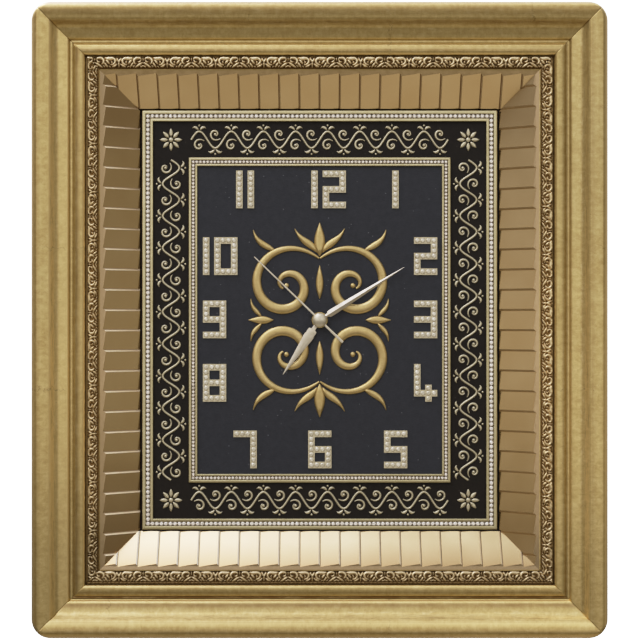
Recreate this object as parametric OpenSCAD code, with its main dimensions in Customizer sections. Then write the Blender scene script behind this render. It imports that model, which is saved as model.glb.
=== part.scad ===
// Wall clock in a deep gilded shadow-box frame: mitred rails, stepped reflector slats,
// a raised dial panel with stone-set borders and numerals, and a quartz movement.
// Everything is drawn in "face" axes (x right, y up, z out of the wall, wall plane at z = 0,
// hand arbor at x = y = 0) and then stood up, so that the front faces -Y and +Z is up.

/* [Frame] */
// Overall width of the frame
frame_w = 480; // [470:1:500]
// Overall height of the frame
frame_h = 530; // [520:1:550]
// Height of the crest of the rails above the wall
crest = 62; // [61:0.5:64]
// Radius of the rounded outer corners
corner_r = 17; // [8:1:22]
// Height of the hanging hole above the hand arbor
hang_y = 235; // [230:1:240]

/* [Reflector slats] */
// Pitch of the slats along the top and bottom
slat_pitch_h = 16.88; // [14:0.01:20]
// Pitch of the slats along the two sides
slat_pitch_v = 16.98; // [14:0.01:20]
// Height of the step from one slat to the next
slat_step = 1.5; // [0.5:0.1:2.5]
// Width of the sloping riser between two slats
slat_riser = 1.8; // [0.8:0.1:3]

/* [Dial panel] */
// Width of the raised panel
panel_w = 300.4; // [292:0.2:302]
// Height of the raised panel
panel_h = 353.8; // [345:0.2:355]
// Width of the dial sheet
dial_w = 221; // [216:0.2:225]
// Height of the dial sheet
dial_h = 274.4; // [269:0.2:278]

/* [Numerals] */
// Spacing of the stones across a numeral
stone_px = 4.72; // [4.4:0.02:5]
// Spacing of the stones up a numeral
stone_py = 4.38; // [4.1:0.02:4.6]
// Width of a numeral's stroke
stroke = 5.5; // [5:0.05:6.5]

/* [Hands] */
// Length of the hour hand
hour_len = 55.5; // [45:0.5:58]
// Length of the minute hand
minute_len = 84; // [75:1:90]
// Length of the second hand
second_len = 76.5; // [70:0.5:90]
// Clockwise angle of the hour hand at rest
hour_at = 214; // [0:1:359]
// Clockwise angle of the minute hand at rest
minute_at = 58; // [0:1:359]
// Clockwise angle of the second hand at rest
second_at = 314; // [0:1:359]

/* [Hidden] */
$fn = 64;
eps = 0.01;

// levels above the wall
board_back = 17;  board_front = 20;
panel_front = 24; dial_front = 25;
lip_z = 48.5;     slat_foot_z = 26.6;
// distances inward from the frame's outer edge
rebate_d = 52; rail_d = 57.5; lip_d = 60.3; slat_d = 86.9;

case_front = 19.4; case_in = 18.2; cover_in = 4.6; cover_back = 3.4; case_half = 28;

gold = [0.68, 0.57, 0.36]; palegold = [0.75, 0.68, 0.50]; black = [0.13, 0.11, 0.10];
charcoal = [0.18, 0.17, 0.17]; silver = [0.78, 0.78, 0.78]; steel = [0.62, 0.63, 0.65];

// ---------------------------------------------------------------- helpers
// stands the face axes up and hangs them below the hanging hole
module placed() { translate([0, 0, -hang_y]) rotate([90, 0, 0]) children(); }

function ell(cx, cz, rx, rz, a0, a1, n) =
  [for (i = [0:n]) let (a = a0 + (a1 - a0) * i / n) [cx + rx * cos(a), cz + rz * sin(a)]];

// extrudes a profile of [distance inward, height] points along one side of a frame
// whose half-extent across the side is e and whose length is len
module along(prof, e, len) {
  rotate([90, 0, 90]) linear_extrude(len, center = true)
    polygon([for (p = prof) [p[0] - e, p[1]]]);
}

// keeps the part of a side between the two 45 degree mitres
module mitre(e, half_len, reach, z0, z1) {
  translate([0, 0, z0]) linear_extrude(z1 - z0)
    polygon([[-half_len, -e], [half_len, -e], [half_len - reach, -e + reach], [-half_len + reach, -e + reach]]);
}

module outline(w, h, r, t) {
  linear_extrude(t) {
    square([w - 2 * r, h], center = true);
    square([w, h - 2 * r], center = true);
    for (x = [-1, 1], y = [-1, 1]) translate([x * (w / 2 - r), y * (h / 2 - r)]) circle(r);
  }
}

// the four sides in turn: 0 bottom, 1 right, 2 top, 3 left
function side_e(s, w, h) = (s % 2 == 0) ? h / 2 : w / 2;
function side_half(s, w, h) = (s % 2 == 0) ? w / 2 : h / 2;
module turned(s) { rotate([0, 0, 90 * s]) children(); }

// a swelling ribbon: path points with a half-width at each
function dirn(p, i) = let (a = p[max(0, i - 1)], b = p[min(len(p) - 1, i + 1)], v = b - a) v / norm(v);
function ribbon(p, w) = concat(
  [for (i = [0:len(p) - 1]) let (d = dirn(p, i)) p[i] + w[i] * [-d[1], d[0]]],
  [for (i = [len(p) - 1:-1:0]) let (d = dirn(p, i)) p[i] - w[i] * [-d[1], d[0]]]);
function swell(n, lo, hi, q) = [for (i = [0:n]) lo + (hi - lo) * sin(180 * pow(i / n, q))];
function spiral(c, r0, r1, a0, a1, n) =
  [for (i = [0:n]) let (t = i / n, r = r0 + (r1 - r0) * pow(t, 0.8), a = a0 + (a1 - a0) * t)
    [c[0] + r * cos(a), c[1] + r * sin(a)]];
function bez(a, b, c, d, n) =
  [for (i = [0:n]) let (t = i / n, u = 1 - t) u * u * u * a + 3 * u * u * t * b + 3 * u * t * t * c + t * t * t * d];

// gear outline with straight-flanked teeth: t teeth of module m, first tooth centred at angle ph
function gear_pts(t, m, ph, thin) = let (p = 360 / t, r = t * m / 2)
  [for (i = [0:t - 1], k = [0:5]) let (a = ph + i * p,
      q = [[r - 1.15 * m, -0.27], [r - 0.1 * m, -0.2], [r + 0.8 * m, -0.08], [r + 0.8 * m, 0.08], [r - 0.1 * m, 0.2], [r - 1.15 * m, 0.27]][k],
      w = q[1] * p * thin) [q[0] * cos(a + w), q[0] * sin(a + w)]];
// phase of a gear of tp teeth that meshes, in direction al, with a gear of tw teeth at phase ph
function mesh_phase(tw, ph, tp, al) = let (p = 360 / tw, n = round((al - ph) / p), e = ph + n * p - al)
  al + 180 - e * tw / tp + 180 / tp;
module gear(t, m, ph, thin = 1) { polygon(gear_pts(t, m, ph, thin)); }
module at(p, z) { translate([p[0], p[1], z]) children(); }
module ring_cyl(r, ri, z0, z1) { translate([0, 0, z0]) difference() { cylinder(r = r, h = z1 - z0); translate([0, 0, -1]) cylinder(r = ri, h = z1 - z0 + 2); } }

// wood screw with a flush head: head face at z0, pointing to +z
module screw(z0, rh, rs, l) {
  translate([0, 0, z0]) {
    difference() {
      union() {
        cylinder(r1 = rh, r2 = rs, h = rh - rs);
        translate([0, 0, rh - rs]) cylinder(r = rs, h = l - (rh - rs) - 2 * rs);
        translate([0, 0, l - 2 * rs]) cylinder(r1 = rs, r2 = 0.2, h = 2 * rs);
      }
      for (a = [0, 90]) rotate([0, 0, a]) translate([-0.7 * rh, -0.25, -1]) cube([1.4 * rh, 0.5, 1 + 0.5 * (rh - rs)]);
    }
  }
}
module screw_hole(z0, rh, rs, l, c) {
  translate([0, 0, z0 - 1]) cylinder(r = rh + c, h = 1);
  translate([0, 0, z0]) cylinder(r1 = rh + c, r2 = rs + c, h = rh - rs);
  translate([0, 0, z0]) cylinder(r = rs + c, h = l + 0.3);
}

// ---------------------------------------------------------------- frame
rail_prof = concat(
  [[2, 0], [0.25, 3.2], [0, 5], [0, 40], [0.5, crest - 12.5], [1, crest - 9.5], [2.1, crest - 5.6], [3.6, crest - 2.6],
   [5.4, crest - 0.6], [7.2, crest], [9.8, crest - 0.15], [12.6, crest - 0.58], [15.2, crest - 1.07], [16, crest - 1.25]],
  // cove, sloping flat and its rounded inner edge
  [[17.2, crest - 2], [18.4, crest - 3.7], [19.6, crest - 5.3], [20.9, crest - 6.55], [22.5, crest - 7.4], [24.4, crest - 7.9],
   [29.3, crest - 8.95], [30.8, crest - 9.6], [31.7, crest - 10.7], [32.3, crest - 12], [32.75, crest - 12.7]],
  // fillet, inner bead, groove and the seat of the ornament
  [[33.05, crest - 12.75], [34.3, crest - 12.4], [34.95, crest - 12.9], [35.25, crest - 13.7]],
  ell(41.4, crest - 14, 6, 3.6, 175, 90, 8),
  ell(41.4, crest - 14, 3.7, 3.6, 78, 0, 6),
  [[45.2, crest - 16.2], [45.4, crest - 16.8], [46.6, crest - 16.8], [46.75, crest - 16], [56.5, crest - 16], [56.6, crest - 13.3],
   [rail_d, crest - 13.48], [rail_d, board_front], [rebate_d, board_front], [rebate_d, 0]]);

board_screw_at = [-125, 0, 125]; board_screw_d = 55.3;
function board_screw_v() = [-150, 0, 150];
nail_d = [16, 39];

module nail_shape(c) { // angle nail across the bottom left mitre
  for (d = nail_d) translate([-frame_w / 2 + d - c, -frame_h / 2 + d - c, 0]) {
    square([7 + 2 * c, 0.7 + 2 * c]); square([0.7 + 2 * c, 7 + 2 * c]);
  }
}
module nails(c, z0, z1) { translate([0, 0, z0]) linear_extrude(z1 - z0) for (x = [0, 1], y = [0, 1]) mirror([x, 0]) mirror([0, y]) nail_shape(c); }

module screw_spots() { // flush screws that hold the base board in the rebate
  for (s = [0, 2], x = board_screw_at) turned(s) translate([x, -frame_h / 2 + board_screw_d, 0]) children();
  for (s = [1, 3], x = board_screw_v()) turned(s) translate([x, -frame_w / 2 + board_screw_d, 0]) children();
}

module rail(s) {
  difference() {
    intersection() {
      turned(s) along(rail_prof, side_e(s, frame_w, frame_h), 2 * side_half(s, frame_w, frame_h));
      turned(s) mitre(side_e(s, frame_w, frame_h), side_half(s, frame_w, frame_h), 70, -1, 80);
      translate([0, 0, -1]) outline(frame_w, frame_h, corner_r, 90);
    }
    nails(0.03, -1, 9.1);
    screw_spots() translate([0, 0, board_front - 1]) cylinder(r = 1.42, h = 11.2);
    if (s == 2) {
      translate([-23.1, hang_y - 9.6, -1]) cube([46.2, 25.2, 2.5]);
      translate([-12, hang_y - 9, -1]) cube([24, 24, 13]);
      for (x = [-17, 17]) translate([x, hang_y, -1]) cylinder(r = 1.53, h = 15.6);
    }
  }
}
module frame_rail_bottom() { color(gold) rail(0); }
module frame_rail_right() { color(gold) rail(1); }
module frame_rail_top() { color(gold) rail(2); }
module frame_rail_left() { color(gold) rail(3); }
module corner_nails() { color(steel) nails(0, 0.2, 9); }

strip_prof = [[46.8, crest - 16], [56.4, crest - 16], [56.4, crest - 14.6], [54.4, crest - 13.2], [51.6, crest - 12.6], [48.8, crest - 13.2], [46.8, crest - 14.6]];
module ornament(s) {
  intersection() {
    turned(s) along(strip_prof, side_e(s, frame_w, frame_h), 2 * side_half(s, frame_w, frame_h));
    turned(s) mitre(side_e(s, frame_w, frame_h), side_half(s, frame_w, frame_h), 70, 30, 80);
  }
}
module ornament_strip_bottom() { color(gold) ornament(0); }
module ornament_strip_right() { color(gold) ornament(1); }
module ornament_strip_top() { color(gold) ornament(2); }
module ornament_strip_left() { color(gold) ornament(3); }

// stepped slats: each face tilts along the side and drops back at a sloping riser
slope = atan2(lip_z - slat_foot_z, slat_d - lip_d);
function saw(pitch, shift, dir) = let (n = 17, a = slat_step / 2)
  concat([[-n * pitch - pitch, -70]], [[n * pitch + pitch, -70]],
    [for (i = [n:-1:-n], k = [1, 0]) let (u = (i + shift) * pitch)
      (dir > 0) ? [u + (k == 1 ? slat_riser / 2 : -slat_riser / 2), k == 1 ? -a : a]
                : [u + (k == 1 ? slat_riser / 2 : -slat_riser / 2), k == 1 ? a : -a]]);
module liner(s) {
  e = side_e(s, frame_w, frame_h); hl = side_half(s, frame_w, frame_h);
  dir = (s % 2 == 0) ? 1 : -1;
  d_in = (s % 2 == 0) ? slat_d : slat_d + 1.5; // the panel stands further in at the sides
  intersection() {
    turned(s) along([[rail_d, board_front], [d_in, board_front], [d_in, lip_z - 0.62], [lip_d, lip_z - 0.62], [rail_d, lip_z]], e, 2 * hl);
    turned(s) mitre(e, hl, 120, 10, 80);
    turned(s) translate([0, -e + slat_d, slat_foot_z]) rotate([90 - slope, 0, 0]) translate([0, 0, -40]) linear_extrude(110)
      polygon(saw(dir > 0 ? slat_pitch_h : slat_pitch_v, dir > 0 ? 0 : 0.5, dir));
  }
}
module slat_liner_bottom() { color(palegold) liner(0); }
module slat_liner_right() { color(palegold) liner(1); }
module slat_liner_top() { color(palegold) liner(2); }
module slat_liner_left() { color(palegold) liner(3); }

// ---------------------------------------------------------------- back
panel_screw_at = [[-115, -145], [115, -145], [-115, 0], [115, 0], [-115, 145], [115, 145]];
module base_board() {
  color([0.45, 0.33, 0.22]) difference() {
    translate([-frame_w / 2 + rebate_d + 0.3, -frame_h / 2 + rebate_d + 0.3, board_back])
      cube([frame_w - 2 * rebate_d - 0.6, frame_h - 2 * rebate_d - 0.6, board_front - board_back]);
    translate([0, 0, board_back - 1]) outline(59, 59, 4, 5);
    screw_spots() screw_hole(board_back, 2.6, 1.4, 12, 0.05);
    for (p = panel_screw_at) at(p, 0) screw_hole(board_back, 2.6, 1.25, 5.5, 0.05);
  }
}
module board_screws() { color(steel) screw_spots() screw(board_back, 2.6, 1.4, 12.5); }
module panel_screws() { color(steel) for (p = panel_screw_at) at(p, 0) screw(board_back, 2.6, 1.25, 5.8); }
module hanger_plate() {
  color(steel) translate([0, hang_y, 0]) difference() {
    translate([0, 3, 0]) outline(46, 25, 3, 1.5);
    translate([0, 0, -1]) cylinder(r = 5, h = 4);
    translate([-2.2, 0, -1]) cube([4.4, 9, 4]);
    translate([0, 9, -1]) cylinder(r = 2.2, h = 4);
    for (x = [-17, 17]) translate([x, 0, 0]) screw_hole(0, 3, 1.5, 4, 0.05);
  }
}
module hanger_screws() { color(steel) for (x = [-17, 17]) translate([x, hang_y, 0]) screw(0, 3, 1.5, 14); }

// ---------------------------------------------------------------- dial panel
module border_panel() {
  color(black) difference() {
    translate([-panel_w / 2, -panel_h / 2, board_front]) cube([panel_w, panel_h, panel_front - board_front]);
    translate([0, 0, board_front - 1]) cylinder(r = 4.15, h = 8);
    for (p = panel_screw_at) at(p, board_front - 1) cylinder(r = 1.28, h = 4.2);
  }
}
module dial_panel() {
  color(charcoal) difference() {
    translate([-dial_w / 2, -dial_h / 2, panel_front]) cube([dial_w, dial_h, dial_front - panel_front]);
    translate([0, 0, panel_front - 1]) cylinder(r = 4.15, h = 4);
  }
}
module strips(prof, w, h) {
  for (s = [0:3]) intersection() {
    turned(s) along(prof, side_e(s, w, h), 2 * side_half(s, w, h));
    turned(s) mitre(side_e(s, w, h), side_half(s, w, h) - 0.03, 40, 10, 60);
  }
}
o = panel_front; n_ = dial_front;
outer_prof = [[0, o], [9.6, o], [9.6, o + 2.5], [9.2, o + 2.9], [8.2, o + 2.9], [7.9, o + 2.6], [7.9, o + 1.8], [3.9, o + 1.8], [3.9, o + 2.8], [3.4, o + 3.2], [0.7, o + 3.2], [0, o + 2.5]];
inner_prof = [[0, n_], [7.3, n_], [7.3, n_ + 1.9], [6.9, n_ + 2.3], [6, n_ + 2.3], [5.7, n_ + 2], [5.7, n_ + 1.4], [2.5, n_ + 1.4], [2.5, n_ + 2], [2.2, n_ + 2.3], [0.5, n_ + 2.3], [0, n_ + 1.8]];
module outer_bead_frame() { color(palegold) strips(outer_prof, panel_w, panel_h); }
module inner_bead_frame() { color(palegold) strips(inner_prof, dial_w, dial_h); }
module outer_stone_chain() { color("ivory") strips([[4.1, o + 1.8], [7.7, o + 1.8], [7.7, o + 2.6], [6.7, o + 3.4], [5.1, o + 3.4], [4.1, o + 2.6]], panel_w, panel_h); }
module inner_stone_chain() { color("ivory") strips([[2.7, n_ + 1.4], [5.5, n_ + 1.4], [5.5, n_ + 2.1], [4.7, n_ + 2.8], [3.5, n_ + 2.8], [2.7, n_ + 2.1]], dial_w, dial_h); }

// border ornament: a running vine with a leaf in each bend
band = (panel_w - 19.2 - dial_w) / 2;
function vine(half, per, amp) = [for (i = [0:8 * per]) let (t = -1 + 2 * i / (8 * per)) [half * t, amp * sin(180 * per * t)]];
module leaf2(l, b) { polygon(ribbon([for (i = [0:8]) [l * (i / 8 - 0.5), 1.2 * sin(180 * i / 8)]], swell(8, 0.15, b, 0.8))); }
module vine_side(half, e, per) {
  translate([0, -e, panel_front]) linear_extrude(1.2) {
    polygon(ribbon(vine(half, per, 7), [for (i = [0:8 * per]) 0.9]));
    for (i = [0:2 * per - 1]) let (x = half * (-1 + (i + 0.5) / per), up = (i % 2 == 0) ? 1 : -1, k = (per % 2 == 0) ? 1 : -1)
      translate([x, -k * up * 3.6]) rotate([0, 0, k * up * 8]) leaf2(9.5, 2.3);
  }
}
module border_relief() {
  color(palegold) {
    for (s = [0, 2]) turned(s) vine_side(dial_w / 2 - 2, dial_h / 2 + band / 2, 8);
    for (s = [1, 3]) turned(s) vine_side(dial_h / 2 - 2, dial_w / 2 + band / 2, 10);
    for (x = [-1, 1], y = [-1, 1]) translate([x * (dial_w / 2 + band / 2), y * (dial_h / 2 + band / 2), panel_front])
      linear_extrude(1.2) polygon([for (i = [0:47]) let (a = i * 7.5, r = 7 + 2.6 * cos(8 * a)) [r * cos(a), r * sin(a)]]);
  }
}

// centre ornament: four facing scrolls with palmettes above and below, mirrored about both axes
relief_h = 2.2;
module quarter_ornament() {
  polygon(ribbon(spiral([28, 29], 36, 3.5, 140, -400, 44), swell(44, 0.8, 4.2, 0.75)));
  polygon(ribbon(bez([2.5, 57], [7, 66], [15, 65], [21, 77], 14), swell(14, 0.3, 3, 0.8)));
  polygon(ribbon(bez([37, 58], [45, 63], [53, 64], [56, 76], 14), swell(14, 0.3, 2.7, 0.8)));
  polygon(ribbon(bez([49, 2.5], [53, 8], [57.5, 9], [58, 18], 12), swell(12, 0.3, 2, 0.8)));
  polygon(ribbon(bez([0, 54], [0, 63], [0, 72], [0, 82], 12), swell(12, 0.3, 4.6, 0.9)));
  polygon(ribbon(bez([0, 18], [0, 28], [0, 36], [0, 46], 12), swell(12, 0.3, 3.2, 0.9)));
  translate([28, 29]) circle(2.2);
}
module centre_relief() {
  color(palegold) translate([0, 0, dial_front]) linear_extrude(relief_h) {
    for (x = [0, 1], y = [0, 1]) mirror([x, 0]) mirror([0, y]) quarter_ornament();
    for (x = [0, 1]) mirror([x, 0]) polygon(ribbon(bez([39, 0], [46, 0], [52, 0], [60, 0], 12), swell(12, 0.3, 3.4, 0.9)));
  }
}

// numerals: bars on a 4 by 7 grid of stones, rows counted from the top
function bars(d) =
  d == 0 ? [[0, 0, 3, 0], [0, 6, 3, 6], [0, 0, 0, 6], [3, 0, 3, 6]] :
  d == 1 ? [[0, 0, 0, 6]] :
  d == 2 ? [[0, 0, 3, 0], [3, 0, 3, 3], [0, 3, 3, 3], [0, 3, 0, 6], [0, 6, 3, 6]] :
  d == 3 ? [[0, 0, 3, 0], [3, 0, 3, 6], [0, 3, 3, 3], [0, 6, 3, 6]] :
  d == 4 ? [[0, 0, 0, 5], [0, 5, 3, 5], [2, 4, 2, 6]] :
  d == 5 ? [[0, 0, 3, 0], [0, 0, 0, 3], [0, 3, 3, 3], [3, 3, 3, 6], [0, 6, 3, 6]] :
  d == 6 ? [[0, 0, 3, 0], [0, 0, 0, 6], [0, 3, 3, 3], [3, 3, 3, 6], [0, 6, 3, 6]] :
  d == 7 ? [[0, 0, 3, 0], [3, 0, 3, 6]] :
  d == 8 ? [[0, 0, 3, 0], [0, 6, 3, 6], [0, 3, 3, 3], [0, 0, 0, 6], [3, 0, 3, 6]] :
           [[0, 0, 3, 0], [0, 0, 0, 3], [0, 3, 3, 3], [3, 0, 3, 6], [0, 6, 3, 6]];
function lit(d, c, r) = len([for (b = bars(d)) if (c >= b[0] && c <= b[2] && r >= b[1] && r <= b[3]) 1]) > 0;
// digit, left edge, top edge
digits = [[1, -7.1, 126.1], [2, 2.5, 126.1], [1, -70.5, 126.1], [1, -60.8, 126.1], [1, 61.2, 126.1],
  [1, -98.5, 69.8], [0, -89, 69.8], [2, 79.6, 69.8], [9, -98.5, 16.4], [3, 79.6, 16.4],
  [8, -98.5, -37.1], [4, 79.6, -37.1], [7, -72.7, -93.3], [6, -9.7, -93.3], [5, 54.3, -93.3]];
plate_h = 1.6;
module numeral_plates() {
  color(palegold) for (d = digits) translate([d[1] + stroke / 2, d[2] - stroke / 2, dial_front]) linear_extrude(plate_h)
    for (b = bars(d[0])) translate([b[0] * stone_px - stroke / 2, -b[3] * stone_py - stroke / 2])
      square([(b[2] - b[0]) * stone_px + stroke, (b[3] - b[1]) * stone_py + stroke]);
}
module numeral_stones() {
  color("ivory") for (d = digits, c = [0:3], r = [0:6]) if (lit(d[0], c, r))
    translate([d[1] + stroke / 2 + c * stone_px, d[2] - stroke / 2 - r * stone_py, dial_front + plate_h]) cylinder(r = 1.9, h = 0.9, $fn = 24);
}

// ---------------------------------------------------------------- movement
third_p = [-10, sqrt(12.24 * 12.24 - 100)];
minute_p = 12 * [cos(30), sin(30)];
knob_p = minute_p + 12 * [cos(70), sin(70)];
step_p = 12.6 * [cos(81), sin(81)];
rotor_p = step_p + 10.8 * [cos(125), sin(125)];
function dir_of(a, b) = atan2(b[1] - a[1], b[0] - a[0]);
o2 = [0, 0];
// levels of the wheels, front to back
zl = [16.8, 15.4, 14.2, 13.0, 11.8, 10.6];
arb = 0.6; arb_hole = 0.66;

module boss(p, z0, z1, r, rh, h0, h1) { // blind bearing boss between z0 and z1 with a hole from h0 to h1
  at(p, z0) cylinder(r = r, h = z1 - z0);
}
module movement_front_case() {
  color([0.16, 0.16, 0.17]) difference() {
    union() {
      difference() {
        translate([0, 0, cover_back]) outline(2 * case_half, 2 * case_half, 3, case_front - cover_back);
        translate([0, 0, cover_back - 1]) outline(2 * case_half - 2, 2 * case_half - 2, 2, case_in - cover_back + 1);
      }
      difference() {
        translate([-27.5, -12.4, cover_back]) cube([55, 0.9, case_in - cover_back + 0.2]);
        for (x = [-27.0, 26.45]) translate([x, -13, 5.9]) cube([0.55, 2, 8.2]);
      }
      translate([0, 0, case_front - 0.5]) cylinder(r = 4, h = 27.6 - case_front + 0.5);
      at(third_p, 15.6) cylinder(r = 1.5, h = case_in - 15.6 + 0.2);
      at(step_p, 16.8) cylinder(r = 1.5, h = case_in - 16.8 + 0.2);
      at(rotor_p, 12.2) cylinder(r = 1.5, h = case_in - 12.2 + 0.2);
      at(minute_p, 15.0) cylinder(r = 0.8, h = case_in - 15.0 + 0.2);
    }
    translate([0, 0, case_in - 1]) cylinder(r = 2.58, h = 12);
    at(third_p, 15) cylinder(r = arb_hole, h = 2.4);
    at(step_p, 16) cylinder(r = arb_hole, h = 1.9);
    at(rotor_p, 12) cylinder(r = arb_hole, h = 2.4);
    at(knob_p, case_in - 1) cylinder(r = arb_hole, h = 1.7);
  }
}
module movement_rear_cover() {
  color([0.2, 0.2, 0.21]) difference() {
    union() {
      intersection() {
        translate([-26.9, -11.4, cover_back]) cube([53.8, 38.3, cover_in - cover_back]);
        translate([0, 0, cover_back - 1]) outline(53.8, 53.8, 2, 4);
      }
      at(o2, cover_back) cylinder(r = 1.6, h = 11 - cover_back);
      at(third_p, cover_back) cylinder(r = 1.6, h = 11.2 - cover_back);
      at(step_p, cover_back) cylinder(r = 1.6, h = 9.8 - cover_back);
      at(rotor_p, cover_back) cylinder(r = 1.6, h = 7.2 - cover_back);
      for (p = [[-20, 0], [-20, 22]]) at(p, cover_back) cylinder(r = 1.5, h = 8.5 - cover_back);
      for (p = [[24, -6], [24, 6], [10, -8], [-23, -6.5]]) at(p, cover_back) cylinder(r = 1.3, h = 7.2 - cover_back);
    }
    for (q = [[o2, 0.56], [third_p, arb_hole], [step_p, arb_hole], [rotor_p, arb_hole]]) at(q[0], 5) cylinder(r = q[1], h = 10);
    at(knob_p, 0) cylinder(r = 1.56, h = 10);
  }
}
module movement_gasket() { color([0.12, 0.12, 0.12]) ring_cyl(9, 4.1, case_front, board_front); }
module neck_washer() { color([0.7, 0.6, 0.35]) ring_cyl(6.6, 4.1, dial_front, dial_front + 0.6); }
module neck_nut() {
  color([0.7, 0.6, 0.35]) difference() {
    translate([0, 0, dial_front + 0.6]) cylinder(r = 6.2, h = 1.8, $fn = 6);
    translate([0, 0, dial_front]) cylinder(r = 4.02, h = 5);
  }
}
bat_y = -19.7; bat_z = 10.9;
module battery_cell() {
  color([0.75, 0.75, 0.72]) translate([0, bat_y, bat_z]) rotate([0, 90, 0]) {
    translate([0, 0, -24]) cylinder(r = 7.1, h = 49.2);
    translate([0, 0, 25]) cylinder(r = 2.6, h = 1.5);
  }
}
module positive_contact() {
  color(steel) { translate([26.55, -25.2, 6]) cube([0.4, 17.2, 8]); translate([24.5, -10.6, 8]) cube([2.2, 2.4, 0.4]); }
}
module negative_contact() {
  color(steel) {
    translate([-26.95, -25.2, 6]) cube([0.4, 17.2, 8]);
    translate([-26.7, -10.6, 8]) cube([2.2, 2.4, 0.4]);
    translate([0, 0, 8]) linear_extrude(6) polygon([[-26.6, -24.5], [-26.6, -24], [-24.1, -19.9], [-24.1, -19.5], [-26.6, -15.4], [-26.6, -14.9], [-24.06, -19.2], [-24.06, -20.2]]);
  }
}
module circuit_board() { color([0.1, 0.35, 0.18]) difference() {
  translate([0, 0, 7.2]) linear_extrude(0.8) { translate([-26, -11.2]) square([52, 7]); translate([8, -11.2]) square([18, 19.2]); }
  at([20, 4], 6) cylinder(r = 0.6, h = 4); } }
module driver_chip() { color([0.06, 0.06, 0.06]) at([13, -5], 8) rotate_extrude() polygon(concat([[0, 0]], ell(0, 0, 3.2, 1.1, 0, 90, 8))); }
module quartz_can() { color(silver) translate([14, 2, 9.5]) rotate([0, 90, 0]) cylinder(r = 1.48, h = 8); }
module coil_bobbin() {
  color([0.9, 0.88, 0.8]) difference() {
    translate([-20, 2, 10]) rotate([-90, 0, 0]) { cylinder(r = 1.9, h = 18); cylinder(r = 2.75, h = 1); translate([0, 0, 17]) cylinder(r = 2.75, h = 1); }
    translate([-21.55, 1, 9.45]) cube([3.1, 20, 1.1]);
  }
}
module coil_winding() { color([0.72, 0.38, 0.18]) translate([-20, 3.05, 10]) rotate([-90, 0, 0]) ring_cyl(2.6, 1.92, 0, 15.9); }
module coil_core() { color(steel) translate([-21.5, -1.2, 9.5]) cube([3, 24.2, 1]); }
module stator_plate() {
  color(steel) difference() {
    translate([0, 0, 8.5]) linear_extrude(1) {
      translate([-22.5, -1.8]) square([20.3, 3.2]);
      translate([-6.2, -1.8]) square([4, 22]);
      translate([-22.5, 20.4]) square([18, 3]);
      translate(rotor_p) circle(5);
    }
    at(rotor_p, 7) cylinder(r = 3, h = 4);
  }
}
// rotor: a magnet pressed on a steel pinion arbor
rotor_ph = mesh_phase(60, 0, 12, dir_of(step_p, rotor_p));
module rotor_magnet() { color([0.3, 0.3, 0.32]) at(rotor_p, 7.9) ring_cyl(2.6, 0.61, 0, 2.2); }
module rotor_pinion() {
  color(silver) at(rotor_p, 0) {
    translate([0, 0, 5.6]) cylinder(r = arb, h = 8.4);
    translate([0, 0, zl[5] - 0.1]) linear_extrude(1) gear(12, 0.3, rotor_ph);
  }
}
step_ph = mesh_phase(60, 0, 10, dir_of(o2, step_p));
module step_wheel() {
  color([0.85, 0.82, 0.7]) at(step_p, 0) {
    translate([0, 0, 5.6]) cylinder(r = arb, h = 12);
    translate([0, 0, zl[5]]) linear_extrude(0.8) gear(60, 0.3, 0);
    translate([0, 0, zl[4] - 0.4]) linear_extrude(1.3) gear(10, 0.36, step_ph);
  }
}
second_ph = mesh_phase(60, 0, 8, dir_of(third_p, o2));
module second_wheel() {
  color([0.85, 0.82, 0.7]) {
    translate([0, 0, 5.6]) cylinder(r = 0.5, h = 33.4 - 5.6);
    translate([0, 0, zl[4]]) linear_extrude(0.8) gear(60, 0.36, 0);
    translate([0, 0, zl[3] - 0.4]) linear_extrude(1.3) gear(8, 0.36, second_ph);
  }
}
third_ph = mesh_phase(64, 0, 8, dir_of(o2, third_p));
module third_wheel() {
  color([0.85, 0.82, 0.7]) at(third_p, 0) {
    translate([0, 0, 5.6]) cylinder(r = arb, h = 11.4);
    translate([0, 0, zl[3]]) linear_extrude(0.8) gear(60, 0.36, 0);
    translate([0, 0, zl[2] - 0.4]) linear_extrude(1.3) gear(8, 0.34, third_ph);
  }
}
module centre_wheel() {
  color([0.8, 0.68, 0.38]) difference() {
    union() {
      translate([0, 0, zl[2]]) linear_extrude(0.8) gear(64, 0.34, 0);
      translate([0, 0, zl[1]]) linear_extrude(1) gear(12, 0.5, 0);
      translate([0, 0, zl[2]]) cylinder(r = 1.6, h = 31.6 - zl[2]);
    }
    translate([0, 0, 10]) cylinder(r = 0.58, h = 30);
  }
}
minute_ph = mesh_phase(12, 0, 36, dir_of(o2, minute_p));
hour_mesh = mesh_phase(40, 0, 10, dir_of(o2, minute_p));
module minute_wheel() {
  color([0.85, 0.82, 0.7]) at(minute_p, 0) difference() {
    union() {
      translate([0, 0, zl[1]]) linear_extrude(1) gear(36, 0.5, minute_ph);
      translate([0, 0, zl[1] + 0.9]) linear_extrude(1.5) gear(10, 0.48, hour_mesh);
    }
    translate([0, 0, 10]) cylinder(r = 0.86, h = 12);
  }
}
module hour_wheel() {
  color([0.8, 0.68, 0.38]) difference() {
    union() {
      translate([0, 0, zl[0]]) linear_extrude(1) gear(40, 0.48, 0);
      translate([0, 0, zl[0]]) cylinder(r = 2.5, h = 29.6 - zl[0]);
    }
    translate([0, 0, 10]) cylinder(r = 1.68, h = 30);
  }
}
knob_ph = mesh_phase(36, minute_ph, 12, dir_of(minute_p, knob_p));
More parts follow.
